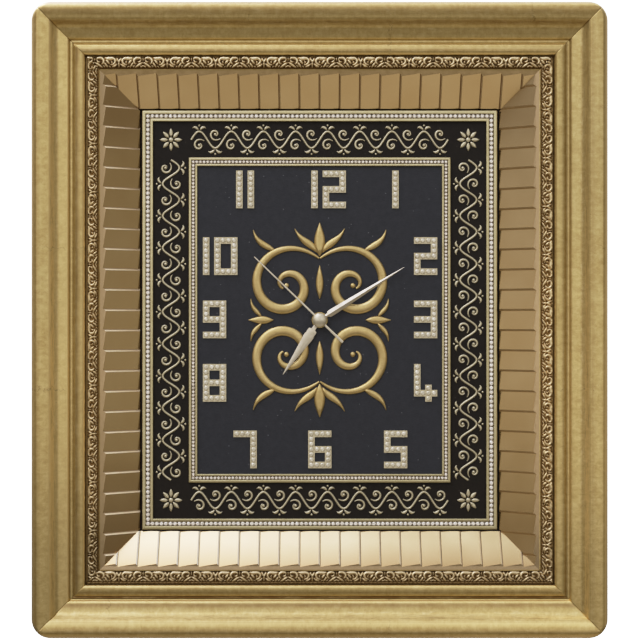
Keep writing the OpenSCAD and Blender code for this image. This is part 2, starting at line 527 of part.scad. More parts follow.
module setting_knob() {
  color([0.9, 0.9, 0.88]) at(knob_p, 0) {
    translate([0, 0, 1.2]) linear_extrude(1.9) polygon([for (i = [0:71]) let (r = (floor(i / 2) % 2 == 0) ? 5.2 : 4.8) [r * cos(5 * i), r * sin(5 * i)]]);
    translate([0, 0, 3]) cylinder(r = 1.5, h = 13.4);
    translate([0, 0, zl[1]]) linear_extrude(1) gear(12, 0.5, knob_ph);
    translate([0, 0, 16]) cylinder(r = arb, h = 2.6);
  }
}

// ---------------------------------------------------------------- hands
module hand_plate(z, t, at_deg, r_hub, r_bore, path, w) {
  rotate([0, 0, -at_deg]) translate([0, 0, z]) difference() {
    union() { cylinder(r = r_hub, h = t); linear_extrude(t) polygon(ribbon(path, w)); }
    translate([0, 0, -1]) cylinder(r = r_bore, h = t + 2);
  }
}
module hour_hand() {
  color(silver) hand_plate(28.6, 0.6, hour_at, 5, 2.51,
    [[0, 3], [0, 9.4], [0, 10.2], [0, 14.8], [0, 18], [0, 25], [0, 37], [0, 49], [0, hour_len]],
    [2, 1.65, 3.7, 3.9, 4.25, 3.45, 2.2, 0.95, 0.15]);
}
module minute_hand() {
  color(silver) hand_plate(30.6, 0.6, minute_at, 4.2, 1.61,
    [[0, 3], [0, 8], [0, 9.2], [0, 14], [0, 32], [0, 56], [0, 76], [0, minute_len]],
    [1.6, 1.4, 2.7, 2.9, 2.36, 1.42, 0.52, 0.15]);
}
module second_hand() {
  color(silver) hand_plate(32.6, 0.4, second_at, 2.6, 0.51,
    [[0, -27], [0, -12], [0, 0], [0, 20], [0, 50], [0, second_len]], [1.1, 1, 0.8, 0.65, 0.55, 0.35]);
}
module second_hand_cap() {
  color(silver) difference() {
    translate([0, 0, 33.02]) rotate_extrude() polygon(concat([[0, 0]], ell(0, 0.5, 6.1, 2.7, 0, 90, 12), [[0, 3.2]]) );
    translate([0, 0, 32]) cylinder(r = 0.52, h = 1.6);
  }
}

placed() frame_rail_top();
placed() frame_rail_bottom();
placed() frame_rail_left();
placed() frame_rail_right();
placed() corner_nails();
placed() ornament_strip_top();
placed() ornament_strip_bottom();
placed() ornament_strip_left();
placed() ornament_strip_right();
placed() slat_liner_top();
placed() slat_liner_bottom();
placed() slat_liner_left();
placed() slat_liner_right();
placed() base_board();
placed() board_screws();
placed() hanger_plate();
placed() hanger_screws();
placed() border_panel();
placed() panel_screws();
placed() outer_bead_frame();
placed() outer_stone_chain();
placed() border_relief();
placed() dial_panel();
placed() inner_bead_frame();
placed() inner_stone_chain();
placed() centre_relief();
placed() numeral_plates();
placed() numeral_stones();
placed() movement_front_case();
placed() movement_rear_cover();
placed() movement_gasket();
placed() neck_washer();
placed() neck_nut();
placed() battery_cell();
placed() positive_contact();
placed() negative_contact();
placed() circuit_board();
placed() driver_chip();
placed() quartz_can();
placed() coil_bobbin();
placed() coil_winding();
placed() coil_core();
placed() stator_plate();
placed() rotor_magnet();
placed() rotor_pinion();
placed() step_wheel();
placed() second_wheel();
placed() third_wheel();
placed() centre_wheel();
placed() minute_wheel();
placed() hour_wheel();
placed() setting_knob();
placed() hour_hand();
placed() minute_hand();
placed() second_hand();
placed() second_hand_cap();
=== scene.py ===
"""Looks of a gilded shadow-box wall clock: mitred rails, moulded ornament, stepped gold slats,
stone-set borders, raised arabesques, stone numerals, bevelled hands and a finished back."""

import math

import bmesh
import bpy
import numpy as np
from mathutils import Matrix, Vector

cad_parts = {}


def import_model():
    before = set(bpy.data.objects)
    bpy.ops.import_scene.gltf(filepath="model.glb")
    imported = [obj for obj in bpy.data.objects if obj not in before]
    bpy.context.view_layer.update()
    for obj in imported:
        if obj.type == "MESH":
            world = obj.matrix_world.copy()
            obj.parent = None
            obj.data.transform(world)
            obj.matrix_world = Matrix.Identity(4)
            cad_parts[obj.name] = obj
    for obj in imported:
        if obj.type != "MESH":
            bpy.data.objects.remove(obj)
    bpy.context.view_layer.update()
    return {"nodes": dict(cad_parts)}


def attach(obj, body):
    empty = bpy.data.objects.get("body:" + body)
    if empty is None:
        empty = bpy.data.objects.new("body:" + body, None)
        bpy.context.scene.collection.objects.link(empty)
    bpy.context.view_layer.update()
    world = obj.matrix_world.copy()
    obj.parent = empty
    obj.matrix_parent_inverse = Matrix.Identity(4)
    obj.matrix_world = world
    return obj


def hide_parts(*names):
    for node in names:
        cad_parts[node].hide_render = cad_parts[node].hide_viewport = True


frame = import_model()
nodes = frame["nodes"]

# ------------------------------------------------------------------ shared sizes, millimetres
# face axes: x right, y up, z out of the wall, hand arbor at x = y = 0
HANG = 235.0
FW, FH = 480.0, 530.0
CREST = 62.0
CORNER = 18.0
PANEL_W, PANEL_H = 300.4, 353.8
DIAL_W, DIAL_H = 221.0, 274.4
PANEL_Z, DIAL_Z = 24.0, 25.0
CASE = "clock_case"


def world(v):
    """Face millimetres to the shared frame in metres."""
    v = np.asarray(v, float).reshape(-1, 3)
    return np.stack([v[:, 0], -v[:, 2], v[:, 1] - HANG], 1) * 0.001


# ------------------------------------------------------------------ camera first
scene = bpy.context.scene
cam_data = bpy.data.cameras.new("camera")
cam = bpy.data.objects.new("camera", cam_data)
scene.collection.objects.link(cam)
cam_data.sensor_width = 36.0
cam_data.lens = 99.52
cam_data.clip_start, cam_data.clip_end = 0.05, 60.0
cam.location = (0.0003, -1.519, -0.2350)
cam.rotation_euler = (math.radians(90), 0, 0)
scene.camera = cam
scene.view_settings.view_transform = "Standard"
scene.view_settings.look = "None"
# a soft shoulder keeps strong reflections on the gold pale instead of burnt out
scene.view_settings.use_curve_mapping = True
curve = scene.view_settings.curve_mapping
curve.clip_min_x, curve.clip_min_y, curve.clip_max_x, curve.clip_max_y = 0.0, 0.0, 3.0, 1.0
curve.use_clip = True
shoulder = curve.curves[3]
for point, (x, y) in zip((shoulder.points[0], shoulder.points[1]), ((0.0, 0.0), (2.6, 1.0))):
    point.location = (x, y)
for x, y in ((0.2, 0.2), (0.5, 0.49), (0.8, 0.69), (1.2, 0.83), (1.8, 0.94)):
    shoulder.points.new(x, y)
curve.update()

# ------------------------------------------------------------------ node helpers


def lin(r, g, b):
    """sRGB 0-255 to linear RGBA."""
    out = []
    for c in (r, g, b):
        c /= 255.0
        out.append(c / 12.92 if c <= 0.04045 else ((c + 0.055) / 1.055) ** 2.4)
    return (*out, 1.0)


class Mat:
    """A small builder for node materials around one Principled shader."""

    def __init__(self, name):
        self.m = bpy.data.materials.new(name)
        self.m.use_nodes = True
        self.t = self.m.node_tree
        self.t.nodes.clear()
        self.out = self.add("ShaderNodeOutputMaterial")
        self.p = self.add("ShaderNodeBsdfPrincipled")
        self.link(self.p.outputs["BSDF"], self.out.inputs["Surface"])
        self.m.diffuse_color = (0.6, 0.5, 0.3, 1)

    def add(self, kind, **props):
        n = self.t.nodes.new(kind)
        for k, v in props.items():
            setattr(n, k, v)
        return n

    def link(self, a, b):
        self.t.links.new(a, b)

    def set(self, **values):
        for k, v in values.items():
            self.p.inputs[k.replace("_", " ")].default_value = v
        return self

    def coords(self, scale=(1, 1, 1), rot=(0, 0, 0), kind="Object"):
        tc = self.add("ShaderNodeTexCoord")
        mp = self.add("ShaderNodeMapping")
        mp.inputs["Scale"].default_value = scale
        mp.inputs["Rotation"].default_value = rot
        self.link(tc.outputs[kind], mp.inputs["Vector"])
        return mp.outputs["Vector"]

    def noise(self, vec, scale=1.0, detail=3.0, rough=0.55, distortion=0.0):
        n = self.add("ShaderNodeTexNoise")
        n.inputs["Scale"].default_value = scale
        n.inputs["Detail"].default_value = detail
        n.inputs["Roughness"].default_value = rough
        n.inputs["Distortion"].default_value = distortion
        self.link(vec, n.inputs["Vector"])
        return n.outputs["Fac"]

    def voronoi(self, vec, scale=1.0, feature="F1", out="Distance"):
        n = self.add("ShaderNodeTexVoronoi")
        n.feature = feature
        n.inputs["Scale"].default_value = scale
        self.link(vec, n.inputs["Vector"])
        return n.outputs[out]

    def ramp(self, fac, stops, interp="LINEAR"):
        n = self.add("ShaderNodeValToRGB")
        n.color_ramp.interpolation = interp
        e = n.color_ramp.elements
        while len(e) < len(stops):
            e.new(0.5)
        for i, (pos, col) in enumerate(stops):
            e[i].position = pos
            e[i].color = col if hasattr(col, "__len__") else (col, col, col, 1)
        self.link(fac, n.inputs["Fac"])
        return n.outputs["Color"]

    def tone(self, c, axis, stops):
        """Scales a colour along one axis of the clock, which paints light and shade by place; stops are (place in
        metres, share).
        """
        if not stops:
            return c
        sep = self.add("ShaderNodeSeparateXYZ")
        self.link(self.coords(), sep.inputs[0])
        a, b = stops[0][0], stops[-1][0]
        share = self.ramp(self.maprange(sep.outputs[axis], a, b, 0.0, 1.0), [((p - a) / (b - a), f / 1.3) for p, f in stops])
        n = self.add("ShaderNodeVectorMath", operation="SCALE")
        self.link(c, n.inputs[0])
        self.link(self.math("MULTIPLY", share, 1.3), n.inputs["Scale"])
        return n.outputs["Vector"]

    def maprange(self, v, a0, a1, b0, b1):
        n = self.add("ShaderNodeMapRange")
        n.inputs["From Min"].default_value = a0
        n.inputs["From Max"].default_value = a1
        n.inputs["To Min"].default_value = b0
        n.inputs["To Max"].default_value = b1
        self.link(v, n.inputs["Value"])
        return n.outputs["Result"]

    def math(self, op, a, b=None, c=None):
        n = self.add("ShaderNodeMath", operation=op)
        for i, x in enumerate((a, b, c)):
            if x is None:
                continue
            if isinstance(x, (int, float)):
                n.inputs[i].default_value = x
            else:
                self.link(x, n.inputs[i])
        return n.outputs["Value"]

    def mix(self, fac, a, b, blend="MIX"):
        n = self.add("ShaderNodeMix", data_type="RGBA", blend_type=blend)
        for sock, x in ((n.inputs["Factor"], fac), (n.inputs[6], a), (n.inputs[7], b)):
            if isinstance(x, (int, float)):
                sock.default_value = x
            elif hasattr(x, "__len__"):
                sock.default_value = x
            else:
                self.link(x, sock)
        return n.outputs[2]

    def bump(self, height, strength=0.2, distance=0.0003, normal=None):
        n = self.add("ShaderNodeBump")
        n.inputs["Strength"].default_value = strength
        n.inputs["Distance"].default_value = distance
        self.link(height, n.inputs["Height"])
        if normal is not None:
            self.link(normal, n.inputs["Normal"])
        return n.outputs["Normal"]

    def color(self, sock):
        self.link(sock, self.p.inputs["Base Color"])

    def rough(self, sock):
        self.link(sock, self.p.inputs["Roughness"])

    def normal(self, sock):
        self.link(sock, self.p.inputs["Normal"])


# ------------------------------------------------------------------ materials


def gilt(name, along, toner_and_shade=(), polish_and_highlight=(), shade=()):
    """Gilding foil pressed over a moulding: faint streaks across the rail, worn tone, flecks and rare hairline laps,
    with painted shade and painted highlight at set distances and along each rail.
    """
    k = Mat(name)
    k.set(Metallic=0.9)
    tc = k.coords((1, 1, 1))
    sep = k.add("ShaderNodeSeparateXYZ")
    k.link(tc, sep.inputs[0])
    if along == "x":
        u, across, half = sep.outputs["X"], k.math("ADD", sep.outputs["Z"], HANG * 0.001), FH * 0.0005
    else:
        u, across, half = sep.outputs["Z"], sep.outputs["X"], FW * 0.0005
    d = k.math("MULTIPLY", k.math("SUBTRACT", half, k.math("ABSOLUTE", across)), 1000.0)
    sc = (800.0, 200.0, 90.0) if along == "x" else (90.0, 200.0, 800.0)
    fine = k.noise(k.coords(sc), 1.0, 4.0, 0.6)
    long = (18.0, 120.0, 700.0) if along == "x" else (700.0, 120.0, 18.0)
    grain = k.noise(k.coords(long), 1.0, 3.0, 0.55)
    blotch = k.noise(k.coords((30, 30, 30)), 1.0, 4.0, 0.6, 0.4)
    base = k.ramp(blotch, [(0.28, lin(181, 153, 94)), (0.5, lin(194, 167, 106)), (0.74, lin(204, 179, 120))])
    streak = k.ramp(fine, [(0.3, lin(166, 140, 88)), (0.52, lin(190, 166, 112)), (0.75, lin(212, 190, 138))])
    base = k.mix(0.2, base, streak)
    grain_c = k.ramp(grain, [(0.3, lin(160, 134, 82)), (0.5, lin(190, 166, 112)), (0.7, lin(206, 185, 133))])
    base = k.mix(0.16, base, grain_c)
    mottle = k.noise(k.coords((260, 200, 190) if along == "x" else (190, 200, 260)), 1.0, 6.0, 0.72, 0.5)
    base = k.mix(0.3, base, k.ramp(mottle, [(0.36, lin(146, 117, 62)), (0.5, lin(192, 167, 108)), (0.64, lin(227, 205, 150))]))
    # brown toner in the cove, partly the real patina and partly painted shade, and painted shade under the edges of the
    # steps
    edge_n = k.math("MULTIPLY", k.math("SUBTRACT", k.noise(k.coords((420, 420, 420)), 1.0, 3.0, 0.65), 0.5), 4.0)
    dn = k.math("ADD", d, edge_n)
    cove_shade = k.ramp(k.maprange(dn, 14.0, 26.0, 0.0, 1.0), [(0.14, 0.0), (0.33, 0.06), (0.58, 0.06), (0.82, 0.0)])
    base = k.mix(cove_shade, base, lin(140, 111, 60))
    step_shade = k.ramp(k.maprange(d, 30.0, 38.0, 0.0, 1.0), [(0.2, 0.0), (0.28, 0.15), (0.35, 0.15), (0.41, 0.0), (0.6, 0.0), (0.64, 0.1), (0.74, 0.1), (0.9, 0.0)])
    base = k.mix(step_shade, base, lin(120, 91, 44))
    # painted shadow in the groove beside the ornament
    groove = k.ramp(k.maprange(d, 42.0, 48.0, 0.0, 1.0), [(0.47, 0.0), (0.54, 0.85), (0.79, 0.85), (0.82, 0.0)])
    base = k.mix(groove, base, lin(100, 73, 38))
    # painted shade on the rounded outer edge of the rail
    rim_shade = k.ramp(k.maprange(d, 0.0, 8.0, 0.0, 1.0), [(0.0, 0.45), (0.5, 0.4), (0.7, 0.0)])
    base = k.mix(rim_shade, base, lin(158, 129, 84))
    # brown toner over the gilding, partly the real patina and partly painted shade: each rail has its own share at each
    # distance, darker where that side lies in shade
    if toner_and_shade:
        toner_shade_share = k.ramp(k.maprange(d, 0.0, 58.0, 0.0, 1.0), [(a / 58.0, b) for a, b in toner_and_shade])
        patch = k.noise(k.coords((70, 70, 260) if along == "x" else (260, 70, 70)), 1.0, 4.0, 0.65)
        toner_shade_share = k.math("MULTIPLY", toner_shade_share, k.maprange(patch, 0.3, 0.7, 0.78, 1.22))
        base = k.mix(toner_shade_share, base, lin(92, 64, 26))
    # painted highlight: paler gilding at set distances, with its own share on each rail for where that side catches the
    # light
    if polish_and_highlight:
        highlight_share = k.ramp(k.maprange(d, 0.0, 58.0, 0.0, 1.0), [(a / 58.0, b) for a, b in polish_and_highlight])
        base = k.mix(highlight_share, base, lin(243, 215, 150))
    # bright worn flecks where the flat meets the cove
    fl = k.noise(k.coords((150, 60, 420) if along == "x" else (420, 60, 150)), 1.0, 3.0, 0.6)
    band = k.ramp(k.maprange(d, 19.0, 27.0, 0.0, 1.0), [(0.2, 0.0), (0.34, 1.0), (0.56, 1.0), (0.74, 0.0)])
    worn = k.math("MULTIPLY", band, k.maprange(fl, 0.55, 0.7, 0.0, 0.4))
    base = k.mix(worn, base, lin(222, 202, 152))
    # speckled toner along the cove
    hollow = k.ramp(k.maprange(d, 14.0, 26.0, 0.0, 1.0), [(0.18, 0.0), (0.36, 1.0), (0.52, 1.0), (0.72, 0.0)])
    fleck = k.maprange(k.noise(k.coords((60, 300, 700) if along == "x" else (700, 300, 60)), 1.0, 5.0, 0.7), 0.5, 0.64, 0.0, 0.34)
    base = k.mix(k.math("MULTIPLY", hollow, fleck), base, lin(96, 68, 30))
    # hairline laps of the foil, across the rail
    wob = k.math("MULTIPLY", k.math("SUBTRACT", k.noise(k.coords((170, 170, 170)), 1.0, 3.0, 0.6), 0.5), 0.016)
    saw = k.math("FRACT", k.math("MULTIPLY", k.math("ADD", u, wob), 8.55))
    dist = k.math("ABSOLUTE", k.math("SUBTRACT", saw, 0.5))
    mask = k.math("GREATER_THAN", k.noise(k.coords((60, 60, 60)), 1.0, 2.0, 0.5), 0.55)
    lap = k.math("MULTIPLY", k.math("LESS_THAN", dist, 0.0026), mask)
    base = k.mix(k.math("MULTIPLY", lap, 0.42), base, lin(92, 70, 34))
    specks = k.math("LESS_THAN", k.voronoi(k.coords((95, 95, 95)), 1.0), 0.04)
    base = k.mix(k.math("MULTIPLY", specks, 0.3), base, lin(86, 66, 34))
    # painted shade and light along the rail's length, from the shade stops
    k.color(k.tone(base, along.upper(), shade))
    k.rough(k.maprange(k.math("ADD", k.math("MULTIPLY", fine, 0.5), k.math("MULTIPLY", blotch, 0.5)), 0.25, 0.75, 0.4, 0.3))
    h = k.math("ADD", k.math("MULTIPLY", fine, 0.5), k.math("MULTIPLY", grain, 0.5))
    h = k.math("SUBTRACT", h, k.math("MULTIPLY", lap, 0.8))
    h = k.math("SUBTRACT", h, k.math("MULTIPLY", cove_shade, k.math("MULTIPLY", edge_n, 0.4)))
    k.normal(k.bump(h, 0.15, 0.00018))
    return k.m


def ornament_gilt(name, share=1.0, shade=(), tones=(lin(88, 63, 31), lin(138, 110, 69), lin(198, 174, 130), lin(218, 196, 154))):
    """Bronzed moulded ornament: bright worn high spots, dark patina in the hollows."""
    k = Mat(name)
    k.set(Metallic=0.9)
    geo = k.add("ShaderNodeAttribute", attribute_name="relief", attribute_type="GEOMETRY")
    n = k.noise(k.coords((420, 420, 420)), 1.0, 3.0, 0.6)
    hgt = k.math("ADD", geo.outputs["Fac"], k.math("MULTIPLY", k.math("SUBTRACT", n, 0.5), 0.22))
    c = k.ramp(hgt, list(zip((0.05, 0.2, 0.42, 0.9), tones)))
    # painted shade: a share below 1 darkens the whole strip towards dark brown, and the shade stops paint shade and
    # light up the clock, for strips that lie differently in the light
    c = k.mix(1.0 - share, c, lin(70, 48, 22))
    k.color(k.tone(c, "Z", shade))
    k.rough(k.maprange(hgt, 0.1, 0.9, 0.55, 0.3))
    k.normal(k.bump(n, 0.25, 0.0002))
    return k.m


def slat_gold(name, tone=()):
    """Smooth anodised gold sheet; tone paints light and shade on it, as the share of the lit colour at heights from the
    foot (0) to the head (1) of an upright row.
    """
    k = Mat(name)
    k.set(Metallic=1.0)
    n = k.noise(k.coords((26, 26, 26)), 1.0, 2.0, 0.5)
    base = k.ramp(n, [(0.3, lin(194, 168, 124)), (0.7, lin(203, 179, 136))])
    if tone:
        sep = k.add("ShaderNodeSeparateXYZ")
        k.link(k.coords((1, 1, 1)), sep.inputs[0])
        # painted light and shade up and down the left and right rows of slats, between a dark brown and the lit gold
        t = k.ramp(k.maprange(sep.outputs["Z"], -0.44, -0.03, 0.0, 1.0), tone, "EASE")
        base = k.mix(t, lin(112, 80, 49), k.ramp(n, [(0.3, lin(204, 177, 131)), (0.7, lin(213, 188, 143))]))
    k.color(base)
    k.rough(k.maprange(n, 0.3, 0.7, 0.2, 0.25))
    return k.m


def slat_edge(name, a, b, metallic=1.0, shade=()):
    """The narrow riser of a slat, or the lip round the slats: the same sheet, duller, in darker and paler copies that
    paint shade and light on each side; the shade stops paint shade along the height.
    """
    k = Mat(name)
    k.set(Metallic=metallic)
    n = k.noise(k.coords((300, 300, 300)), 1.0, 2.0, 0.5)
    k.color(k.tone(k.ramp(n, [(0.3, a), (0.7, b)]), "Z", shade))
    k.rough(k.maprange(n, 0.3, 0.7, 0.32, 0.4))
    return k.m


def slat_gold_low(name):
    """The same sheet, with a painted reflection of the darker frame along its lower ends."""
    k = Mat(name)
    k.set(Metallic=1.0)
    n = k.noise(k.coords((26, 26, 26)), 1.0, 2.0, 0.5)
    sep = k.add("ShaderNodeSeparateXYZ")
    k.link(k.coords((1, 1, 1)), sep.inputs[0])
    base = k.ramp(n, [(0.3, lin(196, 171, 124)), (0.7, lin(204, 180, 134))])
    # painted reflection: the bottom slats turn darker brown towards their lower ends
    k.color(k.mix(k.maprange(sep.outputs["Z"], -0.441, -0.421, 1.0, 0.0), base, lin(166, 136, 92)))
    k.rough(k.maprange(n, 0.3, 0.7, 0.2, 0.25))
    return k.m


def step_share(k, place, start, pitch, at):
    """0 at the root and 1 at the crest of the risers, which follow each other along one axis; pitch is signed."""
    saw = k.math("FRACT", k.math("MULTIPLY", k.math("SUBTRACT", place, start), 1.0 / pitch))
    return k.maprange(saw, at - 0.012, at + 0.012, 0.0, 1.0)


def slat_edge_highlight(name, a, b, far):
    """Painted highlight on the crest of the left risers, fading by painted shade towards the dial and towards the top
    of the clock.
    """
    k = Mat(name)
    k.set(Metallic=0.2)
    n = k.noise(k.coords((300, 300, 300)), 1.0, 2.0, 0.5)
    sep = k.add("ShaderNodeSeparateXYZ")
    k.link(k.coords((1, 1, 1)), sep.inputs[0])
    shade_fade = k.math("MULTIPLY", k.maprange(sep.outputs["X"], -0.174, -0.152, 0.0, 1.0), k.maprange(sep.outputs["Z"], -0.43, -0.06, 0.3, 0.95))
    crest = k.mix(shade_fade, k.ramp(n, [(0.3, a), (0.7, b)]), far)
    # a narrow painted highlight near the crest; the rest of the riser takes the tone of the slats
    k.color(k.mix(step_share(k, sep.outputs["Z"], -0.03883, -0.01698, 0.042), lin(142, 116, 82), crest))
    k.rough(k.maprange(n, 0.3, 0.7, 0.32, 0.4))
    return k.m


def slat_edge_low(name, root, crest):
    """Risers under the dial: a grey painted shadow line at the root and a pale painted highlight towards the crest,
    both paler on the left than on the right.
    """
    k = Mat(name)
    k.set(Metallic=0.25)
    n = k.noise(k.coords((300, 300, 300)), 1.0, 2.0, 0.5)
    sep = k.add("ShaderNodeSeparateXYZ")
    k.link(k.coords((1, 1, 1)), sep.inputs[0])
    go = k.maprange(sep.outputs["X"], -0.13, 0.1, 0.0, 1.0)
    k.color(k.mix(step_share(k, sep.outputs["X"], -0.1679, -0.01688, 0.05), k.mix(go, *root), k.mix(go, *crest)))
    k.rough(k.maprange(n, 0.3, 0.7, 0.32, 0.4))
    return k.m


def slat_edge_line(name, axis, start, pitch, root, crest):
    """Risers with a dark painted shadow line at the root, and the tone of the slats towards the crest."""
    k = Mat(name)
    k.set(Metallic=0.2)
    n = k.noise(k.coords((300, 300, 300)), 1.0, 2.0, 0.5)
    sep = k.add("ShaderNodeSeparateXYZ")
    k.link(k.coords((1, 1, 1)), sep.inputs[0])
    k.color(k.mix(step_share(k, sep.outputs[axis], start, pitch, 0.05), root, crest))
    k.rough(k.maprange(n, 0.3, 0.7, 0.32, 0.4))
    return k.m


def plain_gold(name, a, b, rough0, rough1, freq=700.0, metallic=1.0, strength=0.12):
    k = Mat(name)
    k.set(Metallic=metallic)
    n = k.noise(k.coords((60, 60, 60)), 1.0, 3.0, 0.55)
    f = k.noise(k.coords((freq, freq, freq)), 1.0, 3.0, 0.6)
    m = k.math("ADD", k.math("MULTIPLY", n, 0.55), k.math("MULTIPLY", f, 0.45))
    k.color(k.ramp(m, [(0.3, a), (0.7, b)]))
    k.rough(k.maprange(m, 0.3, 0.7, rough1, rough0))
    k.normal(k.bump(f, strength, 0.00012))
    return k.m


def stone_mat(name, a, b, metallic=0.5, coat=0.8):
    """Foil-backed cut stone: bright reflecting facets under a clear coat."""
    k = Mat(name)
    k.set(Metallic=metallic, Coat_Weight=coat, Coat_Roughness=0.04, IOR=1.54)
    n = k.noise(k.coords((310, 310, 310)), 1.0, 2.0, 0.5)
    k.color(k.ramp(n, [(0.32, a), (0.68, b)]))
    k.rough(k.maprange(n, 0.3, 0.7, 0.14, 0.26))
    return k.m


def dial_mat(name, a, b, fleck, freq, spec=0.35):
    """Dark sheet with a fine woven grain and a few pale flecks."""
    k = Mat(name)
    k.set(Specular_IOR_Level=spec)
    g1 = k.noise(k.coords((500, 500, 1900)), 1.0, 4.0, 0.65)
    g2 = k.noise(k.coords((210, 210, 210)), 1.0, 4.0, 0.6)
    g = k.math("ADD", k.math("MULTIPLY", g1, 0.6), k.math("MULTIPLY", g2, 0.4))
    base = k.ramp(g, [(0.3, a), (0.72, b)])
    cell = k.voronoi(k.coords((freq, freq, freq)), 1.0)
    keep = k.math("GREATER_THAN", k.noise(k.coords((130, 130, 130)), 1.0, 2.0, 0.5), 0.56)
    dots = k.math("MULTIPLY", k.math("LESS_THAN", cell, 0.1), keep)
    base = k.mix(k.math("MULTIPLY", dots, 0.45), base, fleck)
    k.color(base)
    k.rough(k.maprange(g, 0.3, 0.7, 0.62, 0.48))
    k.normal(k.bump(k.math("ADD", g, k.math("MULTIPLY", dots, 0.3)), 0.3, 0.00025))
    return k.m


def wood_raw(name, grain):
    """Unfinished timber back of the rails."""
    k = Mat(name)
    w = k.noise(k.coords(grain), 1.0, 5.0, 0.6, 0.6)
    f = k.noise(k.coords((900, 900, 900)), 1.0, 2.0, 0.5)
    k.color(k.ramp(k.math("ADD", k.math("MULTIPLY", w, 0.8), k.math("MULTIPLY", f, 0.2)),
                   [(0.3, lin(164, 126, 82)), (0.5, lin(192, 156, 110)), (0.72, lin(211, 180, 136))]))
    k.rough(k.maprange(w, 0.3, 0.7, 0.75, 0.6))
    k.normal(k.bump(w, 0.25, 0.0003))
    return k.m


def fibreboard(name):
    """Smooth brown hardboard with pressed fibres."""
    k = Mat(name)
    f = k.noise(k.coords((650, 650, 650)), 1.0, 5.0, 0.7, 0.8)
    b = k.noise(k.coords((22, 22, 22)), 1.0, 3.0, 0.5)
    m = k.math("ADD", k.math("MULTIPLY", f, 0.86), k.math("MULTIPLY", b, 0.14))
    k.color(k.ramp(m, [(0.3, lin(96, 66, 41)), (0.52, lin(124, 89, 57)), (0.74, lin(150, 113, 77))]))
    k.rough(k.maprange(m, 0.3, 0.7, 0.72, 0.55))
    k.normal(k.bump(f, 0.25, 0.0002))
    return k.m


def battery_jacket(name):
    """Printed sleeve of a dry cell: one dark tone with a pale band at the raised end."""
    k = Mat(name)
    k.set(Metallic=0.35, Specular_IOR_Level=0.5)
    sep = k.add("ShaderNodeSeparateXYZ")
    k.link(k.coords((1, 1, 1)), sep.inputs[0])
    n = k.noise(k.coords((900, 900, 900)), 1.0, 3.0, 0.6)
    band = k.math("MULTIPLY", k.math("GREATER_THAN", sep.outputs["X"], 0.0125), k.math("LESS_THAN", sep.outputs["X"], 0.0232))
    base = k.ramp(n, [(0.3, lin(34, 58, 88)), (0.7, lin(42, 68, 100))])
    k.color(k.mix(band, base, lin(188, 190, 190)))
    k.rough(k.maprange(n, 0.3, 0.7, 0.24, 0.34))
    return k.m


def metal(name, a, b, rough0, rough1, freq=(300, 300, 300), strength=0.1):
    k = Mat(name)
    k.set(Metallic=1.0)
    n = k.noise(k.coords(freq), 1.0, 4.0, 0.6)
    k.color(k.ramp(n, [(0.3, a), (0.7, b)]))
    k.rough(k.maprange(n, 0.3, 0.7, rough0, rough1))
    k.normal(k.bump(n, strength, 0.0001))
    return k.m


def plastic(name, a, b, rough0=0.42, rough1=0.55, freq=1600.0, strength=0.15, spec=0.45):
    k = Mat(name)
    k.set(Specular_IOR_Level=spec)
    n = k.noise(k.coords((freq, freq, freq)), 1.0, 2.0, 0.5)
    w = k.noise(k.coords((45, 45, 45)), 1.0, 3.0, 0.5)
    k.color(k.ramp(w, [(0.3, a), (0.7, b)]))
    k.rough(k.maprange(n, 0.3, 0.7, rough0, rough1))
    k.normal(k.bump(n, strength, 0.00008))
    return k.m


# share of brown toner with painted shade over the gilding, and of gilding made paler as painted highlight, at distances
# from the outer edge in millimetres; each rail has its own table for how its side lies in the light
TONER_AND_SHADE = {
    "top": [(5.2, 0.1), (6.5, 0.36), (9.8, 0.52), (12.6, 0.39), (15.2, 0.06), (17.4, 0.4), (20.5, 0.36), (22.4, 0.06), (24.2, 0.22),
            (28.2, 0.28), (30.6, 0.0), (32.6, 0.0), (33.7, 0.36), (35.0, 0.0), (37.6, 0.0), (38.4, 0.36), (41.2, 0.5), (42.6, 0.05), (56.3, 0.0), (56.6, 0.33)],
    "bottom": [(4.0, 0.08), (5.4, 0.42), (8.5, 0.37), (11.2, 0.2), (12.6, 0.0), (16.4, 0.05), (17.2, 0.25), (18.0, 0.0), (20.0, 0.0),
               (24.0, 0.08), (25.7, 0.24), (28.2, 0.58), (29.4, 0.6), (31.2, 0.0), (32.8, 0.15), (34.1, 1.0), (35.3, 1.0), (36.4, 0.15),
               (39.0, 0.36), (40.2, 0.08), (42.4, 0.42), (44.2, 0.0), (44.7, 0.0), (45.0, 0.7), (46.8, 0.7), (47.2, 0.0), (56.3, 0.0), (56.6, 0.75)],
    "left": [(4.4, 0.08), (5.4, 0.4), (6.4, 0.38), (8.5, 0.16), (10.0, 0.03), (15.4, 0.08), (16.2, 0.0), (21.4, 0.0), (22.8, 0.2), (24.6, 0.0),
             (32.5, 0.0), (33.0, 0.5), (34.2, 0.0), (35.4, 0.2), (38.6, 0.66), (41.4, 0.22), (42.5, 0.0), (56.3, 0.0), (56.6, 0.66)],
    "right": [(11.0, 0.0), (14.0, 0.17), (15.2, 0.26), (16.6, 0.0), (21.4, 0.0), (22.8, 0.16), (24.6, 0.0), (33.2, 0.0), (34.3, 0.45), (35.4, 0.2),
              (38.0, 0.15), (39.5, 0.0), (56.3, 0.0), (56.6, 0.16)],
}
